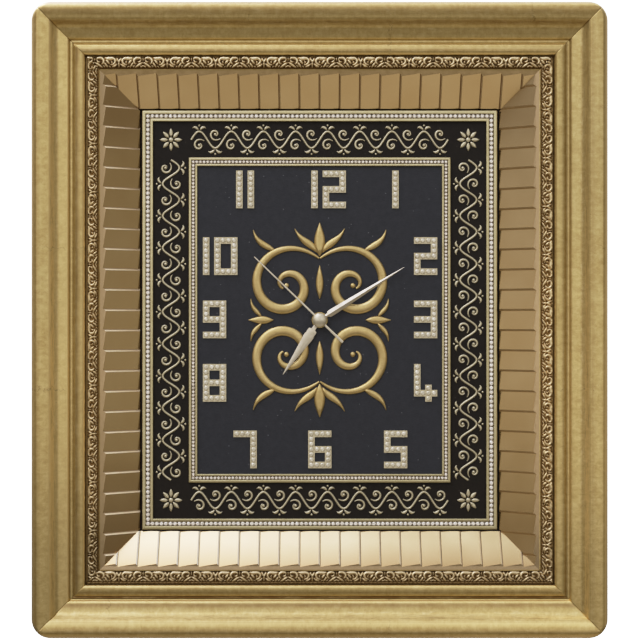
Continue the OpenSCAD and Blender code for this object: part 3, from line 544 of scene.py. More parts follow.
POLISH_AND_HIGHLIGHT = {
    "top": [(31.4, 0.0), (32.1, 0.3), (32.9, 0.0), (34.6, 0.0), (35.1, 0.3), (36.0, 0.5), (36.8, 0.1), (37.6, 0.0), (38.3, 0.0), (39.2, 0.28), (40.2, 0.1), (40.9, 0.0), (43.0, 0.0), (44.2, 0.5), (44.8, 0.0)],
    "bottom": [(12.0, 0.0), (14.8, 0.5), (16.2, 0.15), (17.2, 0.0), (18.4, 0.05), (19.3, 0.3), (20.2, 0.1), (22.5, 0.0), (29.8, 0.06), (30.9, 0.12), (31.8, 0.7), (32.4, 1.0), (32.9, 0.2), (33.4, 0.0), (42.9, 0.0), (43.8, 0.25), (44.6, 0.35), (45.0, 0.0)],
    "left": [(15.6, 0.0), (16.0, 0.1), (17.2, 0.75), (18.4, 0.8), (20.2, 0.6), (21.4, 0.25), (23.0, 0.1), (26.0, 0.16), (30.0, 0.14), (30.9, 0.75), (31.8, 0.85), (32.4, 0.3),
             (33.0, 0.0), (42.7, 0.0), (43.6, 0.65), (44.8, 0.9), (45.2, 0.0)],
    "right": [(3.0, 0.4), (4.5, 0.55), (5.3, 0.0), (16.6, 0.0), (17.8, 0.3), (20.2, 0.3), (21.0, 0.0), (31.0, 0.0), (32.3, 0.3), (33.3, 0.0)],
}

# the four rails are lit and shaded copies of one gilding; the last stops of the bottom, left and right ones paint shade
# and light along the rail
M = {
    "gilt_top": gilt("gilt_frame_top", "x", TONER_AND_SHADE["top"], POLISH_AND_HIGHLIGHT["top"]),
    "gilt_bottom": gilt("gilt_frame_bottom", "x", TONER_AND_SHADE["bottom"], POLISH_AND_HIGHLIGHT["bottom"], [(-0.15, 0.96), (-0.02, 1.0), (0.1, 1.08), (0.175, 1.17)]),
    "gilt_left": gilt("gilt_frame_left", "z", TONER_AND_SHADE["left"], POLISH_AND_HIGHLIGHT["left"], [(-0.43, 0.86), (-0.385, 0.95), (-0.34, 1.04), (-0.28, 1.07), (-0.2, 0.98), (-0.06, 0.96)]),
    "gilt_right": gilt("gilt_frame_right", "z", TONER_AND_SHADE["right"], POLISH_AND_HIGHLIGHT["right"], [(-0.44, 0.97), (-0.39, 1.1), (-0.34, 1.14), (-0.27, 1.08), (-0.195, 0.97), (-0.14, 0.86), (-0.08, 0.8)]),
    # the bottom, left and right strips are shaded and lit copies of the top one, with their own tones
    "ornament": ornament_gilt("gilt_ornament"),
    "ornament_low": ornament_gilt("gilt_ornament_low", 0.86, (), (lin(106, 80, 44), lin(146, 118, 76), lin(196, 172, 128), lin(210, 188, 146))),
    "ornament_side": ornament_gilt("gilt_ornament_side", 1.0, [(-0.42, 0.7), (-0.385, 0.95), (-0.19, 1.06), (-0.08, 0.97)], (lin(128, 98, 54), lin(166, 137, 91), lin(194, 169, 124), lin(200, 177, 134))),
    "ornament_right": ornament_gilt("gilt_ornament_right", 1.0, [(-0.43, 0.76), (-0.37, 0.9), (-0.27, 1.02), (-0.2, 0.98), (-0.15, 0.87)], (lin(138, 106, 60), lin(178, 147, 98), lin(208, 181, 133), lin(214, 189, 143))),
    "slat": slat_gold("slat_gold"),
    # the left and right slats are lit and shaded copies of the sheet
    "slat_left": slat_gold("slat_gold_left", [(0.07, 0.5), (0.15, 0.7), (0.25, 0.95), (0.38, 1.0), (0.5, 0.92), (0.62, 0.82), (0.8, 0.76), (0.92, 0.52)]),
    "slat_right": slat_gold("slat_gold_right", [(0.07, 0.54), (0.15, 0.74), (0.28, 0.88), (0.46, 0.92), (0.58, 0.84), (0.7, 0.78), (0.84, 0.66), (0.92, 0.46)]),
    "slat_low": slat_gold_low("slat_gold_low"),
    "slat_edge": slat_edge_highlight("slat_edge", lin(244, 222, 184), lin(250, 231, 198), lin(150, 124, 90)),
    "slat_edge_low": slat_edge_low("slat_edge_low", (lin(204, 184, 148), lin(126, 106, 78)), (lin(253, 247, 232), lin(234, 212, 172))),
    # the top ends and the lips of each side are lit and shaded copies with painted shade
    "slat_end_top": slat_edge("slat_end_top", lin(122, 100, 66), lin(130, 107, 72)),
    "slat_edge_top": slat_edge_line("slat_edge_top", "X", 0.1679, 0.01688, lin(104, 70, 32), lin(158, 129, 86)),
    "slat_edge_right": slat_edge_line("slat_edge_right", "Z", -0.43117, 0.01698, lin(152, 118, 72), lin(154, 126, 85)),
    "lip_top": slat_edge("lip_top", lin(184, 155, 110), lin(192, 164, 119)),
    "lip_low": slat_edge("lip_low", lin(144, 122, 89), lin(152, 130, 96)),
    "lip_left": slat_edge("lip_left", lin(164, 139, 103), lin(172, 147, 110), 1.0, [(-0.43, 0.78), (-0.385, 0.96), (-0.29, 1.15), (-0.2, 1.0), (-0.1, 0.87), (-0.045, 0.75)]),
    "lip_right": slat_edge("lip_right", lin(178, 151, 112), lin(186, 159, 120), 1.0, [(-0.435, 0.62), (-0.405, 0.9), (-0.36, 1.02), (-0.24, 1.04), (-0.195, 0.92), (-0.13, 0.77), (-0.045, 0.7)]),
    "bead": plain_gold("bead_gold", lin(178, 164, 122), lin(200, 187, 147), 0.3, 0.42),
    "plate": plain_gold("numeral_plate", lin(184, 170, 136), lin(200, 187, 154), 0.4, 0.5, 900.0, 0.35),
    "numeral_stone": stone_mat("numeral_stone", lin(198, 187, 160), lin(216, 206, 184), 0.3, 0.4),
    "cap": plain_gold("hand_cap", lin(186, 174, 148), lin(202, 192, 168), 0.28, 0.36, 500.0, 0.75, 0.05),
    # painted shade: near black for what shows in the gap round the panel
    "board_front": plastic("board_front_black", lin(30, 22, 16), lin(42, 32, 24), 0.6, 0.75),
    "relief": plain_gold("relief_gold", lin(178, 151, 94), lin(198, 174, 121), 0.26, 0.38, 500.0, 0.85, 0.06),
    "border_relief": plain_gold("border_relief_gold", lin(178, 166, 134), lin(199, 188, 159), 0.3, 0.42, 700.0, 0.85),
    "stone": stone_mat("stone", lin(228, 215, 199), lin(243, 232, 218)),
    "stone_outer": stone_mat("stone_outer", lin(238, 227, 211), lin(249, 241, 229), 0.25),
    "dial": dial_mat("dial_black", lin(20, 20, 24), lin(35, 35, 40), lin(120, 118, 120), 210.0),
    "border": dial_mat("border_black", lin(18, 13, 7), lin(30, 23, 14), lin(80, 74, 64), 260.0, 0.16),
    "channel": plastic("channel_dark_shade", lin(100, 88, 70), lin(116, 103, 83), 0.5, 0.65),
    "wood": wood_raw("raw_wood", (18, 300, 420)),
    "wood_up": wood_raw("raw_wood_upright", (420, 300, 18)),
    "jacket": battery_jacket("battery_jacket"),
    "board": fibreboard("board"),
    "zinc": metal("zinc", lin(164, 168, 172), lin(196, 199, 201), 0.42, 0.3),
    "brass": metal("brass", lin(188, 160, 92), lin(212, 186, 122), 0.34, 0.24),
    "case": plastic("case_plastic", lin(29, 29, 31), lin(38, 38, 40)),
    "knob": plastic("knob_plastic", lin(208, 206, 199), lin(222, 220, 213), 0.38, 0.5),
    "rubber": plastic("rubber", lin(24, 24, 24), lin(34, 34, 34), 0.7, 0.82, 900.0, 0.3, 0.3),
    "contact": metal("spring_contact", lin(186, 188, 190), lin(214, 215, 214), 0.3, 0.2),
    "pcb": plastic("pcb", lin(20, 74, 42), lin(30, 96, 55), 0.35, 0.45),
    "epoxy": plastic("epoxy", lin(14, 14, 15), lin(22, 22, 23), 0.2, 0.3),
    "can": metal("can", lin(196, 197, 196), lin(218, 218, 215), 0.26, 0.18),
    "copper": metal("copper", lin(170, 96, 52), lin(200, 122, 72), 0.36, 0.26, (2500, 2500, 2500), 0.4),
    "wheel": plastic("wheel_plastic", lin(214, 206, 180), lin(228, 221, 198), 0.4, 0.5),
    "wheel_brass": metal("wheel_brass", lin(196, 168, 98), lin(216, 190, 124), 0.32, 0.22),
    "steel": metal("core_steel", lin(120, 122, 126), lin(152, 154, 157), 0.45, 0.32),
    "magnet": metal("magnet", lin(70, 70, 74), lin(94, 94, 98), 0.5, 0.36),
    "hand": metal("hand_silver", lin(190, 177, 153), lin(206, 195, 175), 0.38, 0.3, (240, 240, 240), 0.05),
}

# ------------------------------------------------------------------ mesh helpers


def piece(name, verts, faces, mats, body=CASE, slot=None, replaces=(), angle=35.0, index=None, flat=False, already_world=False):
    me = bpy.data.meshes.new(name)
    pts = np.asarray(verts, float) if already_world else world(verts)
    me.from_pydata(pts.tolist(), [], [list(map(int, f)) for f in faces])
    for m in mats if isinstance(mats, (list, tuple)) else [mats]:
        me.materials.append(m)
    if index is not None:
        me.polygons.foreach_set("material_index", np.asarray(index, np.int32))
    me.polygons.foreach_set("use_smooth", [not flat] * len(me.polygons))
    me.update()
    if not flat:
        me.set_sharp_from_angle(angle=math.radians(angle))
    ob = bpy.data.objects.new(name, me)
    scene.collection.objects.link(ob)
    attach(ob, body)
    if replaces:
        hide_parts(*replaces)
    return ob


class Soup:
    """Collects many small solids into one mesh."""

    def __init__(self):
        self.v, self.f, self.i, self.n = [], [], [], 0

    def add(self, verts, faces, index=0):
        verts = np.asarray(verts, float).reshape(-1, 3)
        self.v.append(verts)
        self.f += [[a + self.n for a in f] for f in faces]
        self.i += [index] * len(faces)
        self.n += len(verts)

    def make(self, name, mats, **kw):
        return piece(name, np.concatenate(self.v), self.f, mats, index=self.i, **kw)


def turn(s, xy):
    """Turns points of a side drawn along the bottom edge to side s: 0 bottom, 1 right, 2 top, 3 left."""
    a = math.radians(90 * s)
    c, sn = round(math.cos(a)), round(math.sin(a))
    xy = np.asarray(xy, float)
    out = xy.copy()
    out[..., 0] = c * xy[..., 0] - sn * xy[..., 1]
    out[..., 1] = sn * xy[..., 0] + c * xy[..., 1]
    return out


SIDE = {0: "bottom", 1: "right", 2: "top", 3: "left"}


def extents(s, w, h):
    """(half extent across, half length) of side s of a w by h rectangle."""
    return (h / 2, w / 2) if s % 2 == 0 else (w / 2, h / 2)


def ell(cx, cz, rx, rz, a0, a1, n):
    t = np.radians(np.linspace(a0, a1, n + 1))
    return [(cx + rx * math.cos(a), cz + rz * math.sin(a)) for a in t]


def normals2(p):
    """Outward unit normals of a closed clockwise profile."""
    p = np.asarray(p, float)
    d = np.roll(p, -1, 0) - np.roll(p, 1, 0)
    d /= np.maximum(np.linalg.norm(d, axis=1), 1e-9)[:, None]
    return np.stack([-d[:, 1], d[:, 0]], 1)


def cut(ob, boxes):
    """Takes axis-aligned boxes, given in face millimetres, out of a piece."""
    soup = Soup()
    for (x0, y0, z0), (x1, y1, z1) in boxes:
        v = [(x, y, z) for z in (z0, z1) for y in (y0, y1) for x in (x0, x1)]
        soup.add(v, [(0, 2, 3, 1), (4, 5, 7, 6), (0, 1, 5, 4), (2, 6, 7, 3), (0, 4, 6, 2), (1, 3, 7, 5)])
    me = bpy.data.meshes.new("cutter")
    me.from_pydata(world(np.concatenate(soup.v)).tolist(), [], soup.f)
    me.materials.append(M["wood"])
    cutter = bpy.data.objects.new("cutter", me)
    scene.collection.objects.link(cutter)
    mod = ob.modifiers.new("cut", "BOOLEAN")
    mod.operation, mod.solver, mod.object = "DIFFERENCE", "EXACT", cutter
    mod.use_self = True
    bpy.context.view_layer.update()
    dg = bpy.context.evaluated_depsgraph_get()
    new = bpy.data.meshes.new_from_object(ob.evaluated_get(dg), preserve_all_data_layers=True, depsgraph=dg)
    ob.modifiers.clear()
    old, ob.data = ob.data, new
    new.name = ob.name
    bpy.data.meshes.remove(old)
    bpy.data.objects.remove(cutter)
    bpy.data.meshes.remove(me)


# ------------------------------------------------------------------ rails
RAIL = (
    [(2.0, 0.0), (1.0, 1.4), (0.25, 3.2), (0.0, 5.0), (0.0, 40.0), (0.12, 45.0), (0.5, 49.5), (1.0, 52.5), (1.5, 54.6), (2.1, 56.4),
     (2.8, 58.05), (3.6, 59.4), (4.5, 60.6), (5.4, 61.4), (6.3, 61.86), (7.2, 62.0), (8.5, 61.95), (9.8, 61.85), (11.2, 61.66),
     (12.6, 61.42), (14.0, 61.16), (15.2, 60.93), (16.0, 60.75), (16.6, 60.5), (17.2, 60.12), (17.8, 59.55), (18.4, 58.85),
     (19.0, 58.1), (19.6, 57.35), (20.2, 56.65), (20.9, 55.92), (21.7, 55.25), (22.5, 54.75), (23.4, 54.38), (24.4, 54.1),
     (27.0, 53.55), (29.3, 53.05), (30.2, 52.85), (30.9, 52.6), (31.4, 52.25), (31.8, 51.75), (32.1, 51.2), (32.35, 50.6),
     (32.55, 50.15), (32.75, 49.9), (33.05, 49.82), (33.7, 49.96), (34.3, 50.1), (34.7, 50.0), (35.0, 49.7), (35.2, 49.5)]
    + ell(41.4, 49.0, 6.1, 2.6, 170, 90, 18)
    + ell(41.4, 48.0, 3.7, 3.6, 84, 0, 12)
    + [(45.15, 46.6), (45.2, 45.8), (45.4, 45.2), (46.6, 45.2), (46.7, 45.5), (46.75, 46.0), (56.45, 46.0), (56.5, 48.4), (56.6, 48.7),
       (56.9, 48.66), (57.5, 48.52), (57.5, 20.0), (52.0, 20.0), (52.0, 0.0)]
)
RAIL = np.asarray(RAIL, float)


def rail_row(d, hl, e, shift):
    """Stations along a rail at inward distance d: an arc at each rounded outer corner, then straight."""
    r = max(CORNER - 1.7 * d, 0.0)
    arc = r * math.pi / 4
    total = arc + 4.0
    fr = np.concatenate([[0.0], np.linspace(0.55 / total, 1.0, 13)])
    out = []
    for f in fr:
        s = f * total
        if s < arc:
            a = math.radians(225) + s / r
            out.append((-(hl - d) + r + r * math.cos(a), -(e - d) + r + r * math.sin(a)))
        else:
            out.append((-(hl - d) + r + (s - arc), -(e - d)))
    left = np.asarray(out)
    right = left[::-1].copy()
    right[:, 0] *= -1
    mid_x = np.linspace(left[-1, 0], right[0, 0], 9)[1:-1]
    mid = np.stack([mid_x, np.full(7, -(e - d))], 1)
    row = np.concatenate([left, mid, right])
    row[0, 0] += shift
    row[-1, 0] -= shift
    return row


def build_rail(s):
    e, hl = extents(s, FW, FH)
    nrm = normals2(RAIL)
    np_, rows = len(RAIL), []
    for j, (d, z) in enumerate(RAIL):
        row = rail_row(d, hl, e, 0.06)
        zz = np.full(len(row), z)
        # the ends are eased, so that the mitre shows as a hairline
        dn, zn = d - 0.2 * nrm[j, 0], z - 0.2 * nrm[j, 1]
        end = rail_row(max(dn, 0.02), hl, e, 0.06)
        row[0], row[-1] = end[0], end[-1]
        zz[0] = zz[-1] = max(zn, 0.0)
        rows.append(np.column_stack([turn(s, row), zz]))
    rows = np.asarray(rows)
    ns = rows.shape[1]
    verts = rows.reshape(-1, 3)
    faces, idx = [], []
    for j in range(np_):
        k = (j + 1) % np_
        (d0, z0), (d1, z1) = RAIL[j], RAIL[k]
        raw = 1 if (max(z0, z1) <= 20.01) and not (max(d0, d1) <= 2.01 and max(z0, z1) > 0.5) else 0
        for i in range(ns - 1):
            faces.append((j * ns + i, j * ns + i + 1, k * ns + i + 1, k * ns + i))
            idx.append(raw)
    faces.append([j * ns for j in range(np_)])
    faces.append([j * ns + ns - 1 for j in range(np_ - 1, -1, -1)])
    idx += [1, 1]
    gold = M["gilt_" + SIDE[s]]
    ob = piece("rail_" + SIDE[s], verts, faces, [gold, M["wood" if s % 2 == 0 else "wood_up"]], slot="gilt_frame",
               replaces=["frame_rail_" + SIDE[s]], index=idx, angle=38)
    bm = bmesh.new()
    bm.from_mesh(ob.data)
    bmesh.ops.recalc_face_normals(bm, faces=bm.faces)
    bm.to_mesh(ob.data)
    bm.free()
    boxes = []
    for d in (16.0, 39.0):
        for sx in (-1, 1):
            a, b = sx * (hl - d + 0.03), sx * (hl - d - 7.03)
            p = turn(s, [(a, -(e - d + 0.03)), (b, -(e - d - 0.73))])
            boxes.append(((p[:, 0].min(), p[:, 1].min(), -1.0), (p[:, 0].max(), p[:, 1].max(), 9.1)))
    if s == 2:
        boxes.append(((-23.1, HANG - 9.6, -1.0), (23.1, HANG + 15.6, 1.5)))
        boxes.append(((-12.0, HANG - 9.0, -1.5), (12.0, HANG + 15.0, 12.0)))
    cut(ob, boxes)
    ob.data.set_sharp_from_angle(angle=math.radians(38))
    return ob


for side in range(4):
    build_rail(side)

# ------------------------------------------------------------------ moulded ornament strips
PERIOD = 40.2


def dense(pts, n=14):
    """A smooth path through a few control points, with a half-width at each: columns u, v, half-width."""
    p = np.asarray(pts, float)
    if len(p) == 2:
        t = np.linspace(0, 1, n)[:, None]
        return p[0] * (1 - t) + p[1] * t
    q = np.vstack([2 * p[0] - p[1], p, 2 * p[-1] - p[-2]])
    out = []
    for i in range(1, len(q) - 2):
        for t in np.linspace(0, 1, n, endpoint=False):
            a, b, c, d = q[i - 1], q[i], q[i + 1], q[i + 2]
            out.append(0.5 * (2 * b + (c - a) * t + (2 * a - 5 * b + 4 * c - d) * t * t + (3 * b - a - 3 * c + d) * t ** 3))
    out.append(p[-1])
    return np.asarray(out)


ACANTHUS = [
    # half a period, from the bar between two facing scrolls to the palmette's axis: u, v, half-width; then height
    ([(0.0, 0.7, 0.5), (0.0, 1.9, 0.65), (0.0, 3.3, 0.45)], 2.5),
    ([(1.7, 2.6, 0.65), (2.2, 1.25, 1.1), (4.1, 0.9, 1.35), (6.2, 1.3, 1.5), (7.5, 2.9, 1.4), (7.2, 4.7, 1.1), (5.9, 5.6, 0.6)], 3.25),
    ([(2.1, 2.9, 0.7), (2.7, 3.9, 0.95), (4.1, 4.0, 0.65)], 2.6),
    ([(8.5, 0.9, 0.7), (10.3, 1.35, 1.7), (12.6, 1.25, 1.9), (15.0, 1.2, 1.6), (16.8, 2.3, 1.4), (17.0, 4.2, 1.25), (15.7, 5.8, 1.05), (13.4, 6.4, 0.6)], 3.25),
    ([(9.7, 2.9, 0.8), (11.0, 4.1, 1.25), (12.1, 5.4, 0.65)], 2.6),
    ([(13.6, 3.3, 0.5), (14.3, 4.2, 0.8), (13.6, 5.0, 0.5)], 2.0),
    ([(18.3, 0.8, 0.6), (19.1, 2.4, 1.1), (20.1, 4.5, 0.75)], 3.0),
    ([(20.1, 4.3, 0.8), (20.1, 5.9, 1.05), (20.1, 7.9, 0.6)], 2.6),
    ([(0.5, 4.7, 0.6), (2.7, 5.9, 1.15), (4.7, 7.2, 1.05), (6.4, 8.0, 0.55)], 2.6),
    ([(8.4, 4.6, 0.5), (9.3, 6.2, 1.2), (10.7, 7.8, 0.7)], 2.5),
    ([(18.6, 5.6, 0.5), (17.0, 7.0, 1.05), (14.6, 7.8, 0.6)], 2.4),
    ([(0.0, 6.9, 0.6), (1.9, 7.7, 0.8)], 1.8),
    ([(7.0, 6.6, 0.5), (8.1, 7.7, 0.7)], 1.7),
    ([(11.9, 7.3, 0.5), (13.0, 7.9, 0.6)], 1.6),
]


def acanthus_height(u, v):
    """Height of the ornament over its ground at u along and v across the strip, and over 3.3 the share of full relief."""
    half = PERIOD / 2
    q = np.mod(u, PERIOD)
    q = np.where(q > half, PERIOD - q, q)
    h = np.zeros_like(q)
    for pts, top in ACANTHUS:
        path = dense(pts, 9)
        lo, hi = path[:, 0].min() - 1.3, path[:, 0].max() + 1.3
        near = (q >= lo) & (q <= hi)
        if not near.any():
            continue
        qq, vv = q[near], v[near]
        best = np.zeros_like(qq)
        for a, b in zip(path[:-1], path[1:]):
            ab = b[:2] - a[:2]
            t = np.clip(((qq - a[0]) * ab[0] + (vv - a[1]) * ab[1]) / max(ab @ ab, 1e-9), 0, 1)
            w = a[2] + (b[2] - a[2]) * t
            d = np.hypot(qq - a[0] - t * ab[0], vv - a[1] - t * ab[1])
            k = 1 - (d / w) ** 2
            best = np.maximum(best, np.where(k > 0, np.sqrt(np.maximum(k, 0)), 0) * (0.55 + 0.45 * np.minimum(w, 1.0)))
        h[near] = np.maximum(h[near], top * best)
    return 0.8 * h + 0.85 * np.sin(np.pi * np.clip(v / 9.5, 0, 1))


def build_ornament(s):
    e, hl = extents(s, FW, FH)
    d0, d1, z0 = (46.0, 46.3, 46.0, 46.85)[s], 56.4, 46.05
    nv = 33
    nu = int(2 * (hl - 51.6) / 0.36)
    v = np.linspace(0, d1 - d0, nv)
    t = np.linspace(-1, 1, nu)
    vv, tt = np.meshgrid(v, t, indexing="ij")
    x = tt * (hl - d0 - vv - 0.05)
    across = (d1 - d0 - vv if s == 0 else vv) * 9.55 / (d1 - d0)
    h = acanthus_height(x + {0: -14.0, 1: 6.0, 2: 14.0, 3: 6.0}[s], across)
    h = h + {0: 0.6, 1: 0.6, 2: 0.45, 3: 0.0}[s] * np.exp(-(vv / 0.95) ** 2) * (0.8 + 0.2 * np.cos(x * 1.9))
    z = z0 + 0.12 + np.minimum(h, 3.35)
    xy = turn(s, np.stack([x.ravel(), (-e + d0 + vv).ravel()], 1))
    top = np.column_stack([xy, z.ravel()])
    faces = []
    for j in range(nv - 1):
        b = j * nu
        faces += [(b + i, b + i + 1, b + nu + i + 1, b + nu + i) for i in range(nu - 1)]
    # skirt down to the seat, and a floor
    ring = [i for i in range(nu)] + [j * nu + nu - 1 for j in range(1, nv)] + [(nv - 1) * nu + i for i in range(nu - 2, -1, -1)] + [j * nu for j in range(nv - 2, 0, -1)]
    base = top[ring].copy()
    base[:, 2] = z0
    n0 = len(top)
    m = len(ring)
    for i in range(m):
        k = (i + 1) % m
        faces.append((ring[k], ring[i], n0 + i, n0 + k))
    faces.append([n0 + i for i in range(m - 1, -1, -1)])
    verts = np.concatenate([top, base])
    ob = piece("ornament_" + SIDE[s], verts, faces, M[("ornament_low", "ornament_right", "ornament", "ornament_side")[s]], slot="gilt_ornament",
               replaces=["ornament_strip_" + SIDE[s]], angle=75)
    att = ob.data.attributes.new("relief", "FLOAT", "POINT")
    val = np.concatenate([np.clip((h - 0.85 * np.sin(np.pi * np.clip(across / 9.5, 0, 1))).ravel() / 2.64, 0, 1), np.zeros(m)]).astype(np.float32)
    att.data.foreach_set("value", val)
    return ob


for side in range(4):
    build_ornament(side)

# ------------------------------------------------------------------ bead frames and their stones


def swept(soup, prof, w, h, gap=0.05, index=lambda a, b: 0):
    """Four mitred strips of a closed profile of (distance inward, height) points."""
    prof = np.asarray(prof, float)
    n = len(prof)
    for s in range(4):
        e, hl = extents(s, w, h)
        a = turn(s, np.stack([-(hl - prof[:, 0]) + gap, -(e - prof[:, 0])], 1))
        b = turn(s, np.stack([(hl - prof[:, 0]) - gap, -(e - prof[:, 0])], 1))
        v = np.concatenate([np.column_stack([a, prof[:, 1]]), np.column_stack([b, prof[:, 1]])])
        for j in range(n):
            k = (j + 1) % n
            soup.add(v[[j, n + j, n + k, k]], [(0, 1, 2, 3)], index(prof[j], prof[k]))
        soup.add(v[:n], [list(range(n))], 0)
        soup.add(v[n:], [list(range(n - 1, -1, -1))], 0)


def weld(ob, angle=35):
    bm = bmesh.new()
    bm.from_mesh(ob.data)
    bmesh.ops.remove_doubles(bm, verts=bm.verts, dist=1e-7)
    bmesh.ops.recalc_face_normals(bm, faces=bm.faces)
    bm.to_mesh(ob.data)
    bm.free()
    ob.data.polygons.foreach_set("use_smooth", [True] * len(ob.data.polygons))
    ob.data.set_sharp_from_angle(angle=math.radians(angle))


def bead_profile(width, groove, z, rim_out, rim_in, floor):
    """A shallow moulding with a channel for stones: rounded rims either side of a flat floor."""
    g0, g1 = groove
    p = [(0.0, z), (0.0, z + rim_out - 0.7)]
    p += [(0.7 + 0.7 * math.cos(a), z + rim_out - 0.7 + 0.7 * math.sin(a)) for a in np.radians([160, 135, 112, 90])]
    p += [(g0 - 0.5 + 0.5 * math.cos(a), z + rim_out - 0.5 + 0.5 * math.sin(a)) for a in np.radians([90, 60, 30, 0])]
    p += [(g0 + 0.02, z + floor), (g1 - 0.02, z + floor)]
    r = min(0.45, (width - g1) / 2 - 0.05)
    p += [(g1 + r + r * math.cos(a), z + rim_in - r + r * math.sin(a)) for a in np.radians([180, 150, 120, 90])]
    p += [(width - r + r * math.cos(a), z + rim_in - r + r * math.sin(a)) for a in np.radians([90, 60, 30, 0])]
    p += [(width, z)]
    return p


def brilliant(r, h, fold=8, girdle=0.28, table=0.52, spin=0.0):
    """A cut stone seated on z = 0: girdle, crown facets and table."""
    v, f = [], []
    rings = [(r * 0.94, 0.0, 0.0), (r, girdle * h, 0.0), (r * 0.8, 0.72 * h, 0.5), (r * table, h, 0.0)]
    for rr, z, half in rings:
        for i in range(fold):
            a = 2 * math.pi * (i + half) / fold + spin
            v.append((rr * math.cos(a), rr * math.sin(a), z))
    n = fold
    for i in range(n):
        k = (i + 1) % n
        f.append((i, k, n + k, n + i))
        f.append((n + i, n + k, 2 * n + i))
        f.append((n + k, 2 * n + k, 2 * n + i))
        f.append((2 * n + i, 2 * n + k, 3 * n + k))
        f.append((3 * n + i, 2 * n + i, 3 * n + k))
    f.append([3 * n + i for i in range(n)])
    f.append([i for i in range(n - 1, -1, -1)])
    return np.asarray(v), f


def stones(name, spots, r, h, node, slot="stone", fold=8, mat="stone"):
    rng = np.random.default_rng(11)
    soup = Soup()
    for x, y, z in spots:
        v, f = brilliant(r, h, fold, spin=rng.uniform(0, 2 * math.pi))
        tx, ty = rng.normal(0, 0.035, 2)
        v = v.copy()
        v[:, 2] += (v[:, 0] * tx + v[:, 1] * ty) * (v[:, 2] > 0.05)
        soup.add(v + np.array([x, y, z]), f)
    return soup.make(name, M[mat], slot=slot, replaces=[node], flat=True)


def ring_spots(w, h, e, nx, ny, z):
    """Evenly set places round a rectangle, e inside its edge."""
    x0, y0 = w / 2 - e, h / 2 - e
    out = []
    for i in range(nx):
        x = -x0 + 2 * x0 * i / nx
        out += [(x, -y0, z), (-x, y0, z)]
    for i in range(ny):
        y = -y0 + 2 * y0 * i / ny
        out += [(x0, y, z), (-x0, -y, z)]
    return out


# a darker floor in the stone channel: partly the setting's own dark floor and partly painted shade between the stones
channel_floor_shade = lambda lo, hi, zf: (lambda a, b: 1 if abs(a[1] - zf) < 1e-6 and abs(b[1] - zf) < 1e-6 and min(a[0], b[0]) > lo and max(a[0], b[0]) < hi else 0)

soup = Soup()
# the outer side of the moulding also takes the darker channel finish, as a painted shade line round the panel
swept(soup, bead_profile(9.15, (2.95, 6.75), PANEL_Z, 3.2, 2.9, 1.5), PANEL_W - 0.9, PANEL_H - 0.2,
      index=lambda a, b: 1 if max(a[0], b[0]) < 0.2 else channel_floor_shade(2.75, 6.95, PANEL_Z + 1.5)(a, b))
ob = soup.make("outer_bead_moulding", [M["bead"], M["channel"]], slot="bead_gold", replaces=["outer_bead_frame"])
weld(ob)
stones("outer_stones", ring_spots(PANEL_W - 0.9, PANEL_H - 0.2, 4.85, 76, 90, PANEL_Z + 1.5), 1.87, 1.95, "outer_stone_chain", mat="stone_outer")

soup = Soup()
swept(soup, bead_profile(7.3, (2.3, 5.5), DIAL_Z, 2.3, 2.3, 1.1), DIAL_W, DIAL_H, index=channel_floor_shade(2.1, 5.7, DIAL_Z + 1.1))
ob = soup.make("inner_bead_moulding", [M["bead"], M["channel"]], slot="bead_gold", replaces=["inner_bead_frame"])
weld(ob)
stones("inner_stones", ring_spots(DIAL_W, DIAL_H, 3.9, 70, 88, DIAL_Z + 1.1), 1.47, 1.65, "inner_stone_chain")

# ------------------------------------------------------------------ numerals
PX, PY, STROKE = 4.72, 4.38, 5.5
BARS = {
    0: [(0, 0, 3, 0), (0, 6, 3, 6), (0, 0, 0, 6), (3, 0, 3, 6)],
    1: [(0, 0, 0, 6)],
    2: [(0, 0, 3, 0), (3, 0, 3, 3), (0, 3, 3, 3), (0, 3, 0, 6), (0, 6, 3, 6)],
    3: [(0, 0, 3, 0), (3, 0, 3, 6), (0, 3, 3, 3), (0, 6, 3, 6)],
    4: [(0, 0, 0, 5), (0, 5, 3, 5), (2, 4, 2, 6)],
    5: [(0, 0, 3, 0), (0, 0, 0, 3), (0, 3, 3, 3), (3, 3, 3, 6), (0, 6, 3, 6)],
    6: [(0, 0, 3, 0), (0, 0, 0, 6), (0, 3, 3, 3), (3, 3, 3, 6), (0, 6, 3, 6)],
    7: [(0, 0, 3, 0), (3, 0, 3, 6)],
    8: [(0, 0, 3, 0), (0, 6, 3, 6), (0, 3, 3, 3), (0, 0, 0, 6), (3, 0, 3, 6)],
    9: [(0, 0, 3, 0), (0, 0, 0, 3), (0, 3, 3, 3), (3, 0, 3, 6), (0, 6, 3, 6)],
}
DIGITS = [(1, -7.1, 126.1), (2, 2.5, 126.1), (1, -70.5, 126.1), (1, -60.8, 126.1), (1, 61.2, 126.1), (1, -98.5, 69.8),
          (0, -89.0, 69.8), (2, 79.6, 69.8), (9, -98.5, 16.4), (3, 79.6, 16.4), (8, -98.5, -37.1), (4, 79.6, -37.1),
          (7, -72.7, -93.3), (6, -9.7, -93.3), (5, 54.3, -93.3)]
spots = []
for d, left, top in DIGITS:
    for c in range(4):
        for r in range(7):
            if any(b[0] <= c <= b[2] and b[1] <= r <= b[3] for b in BARS[d]):
                spots.append((left + STROKE / 2 + c * PX, top - STROKE / 2 - r * PY, DIAL_Z + 1.55))
stones("numeral_cut_stones", spots, 2.12, 0.95, "numeral_stones", mat="numeral_stone")

# ------------------------------------------------------------------ raised strokes


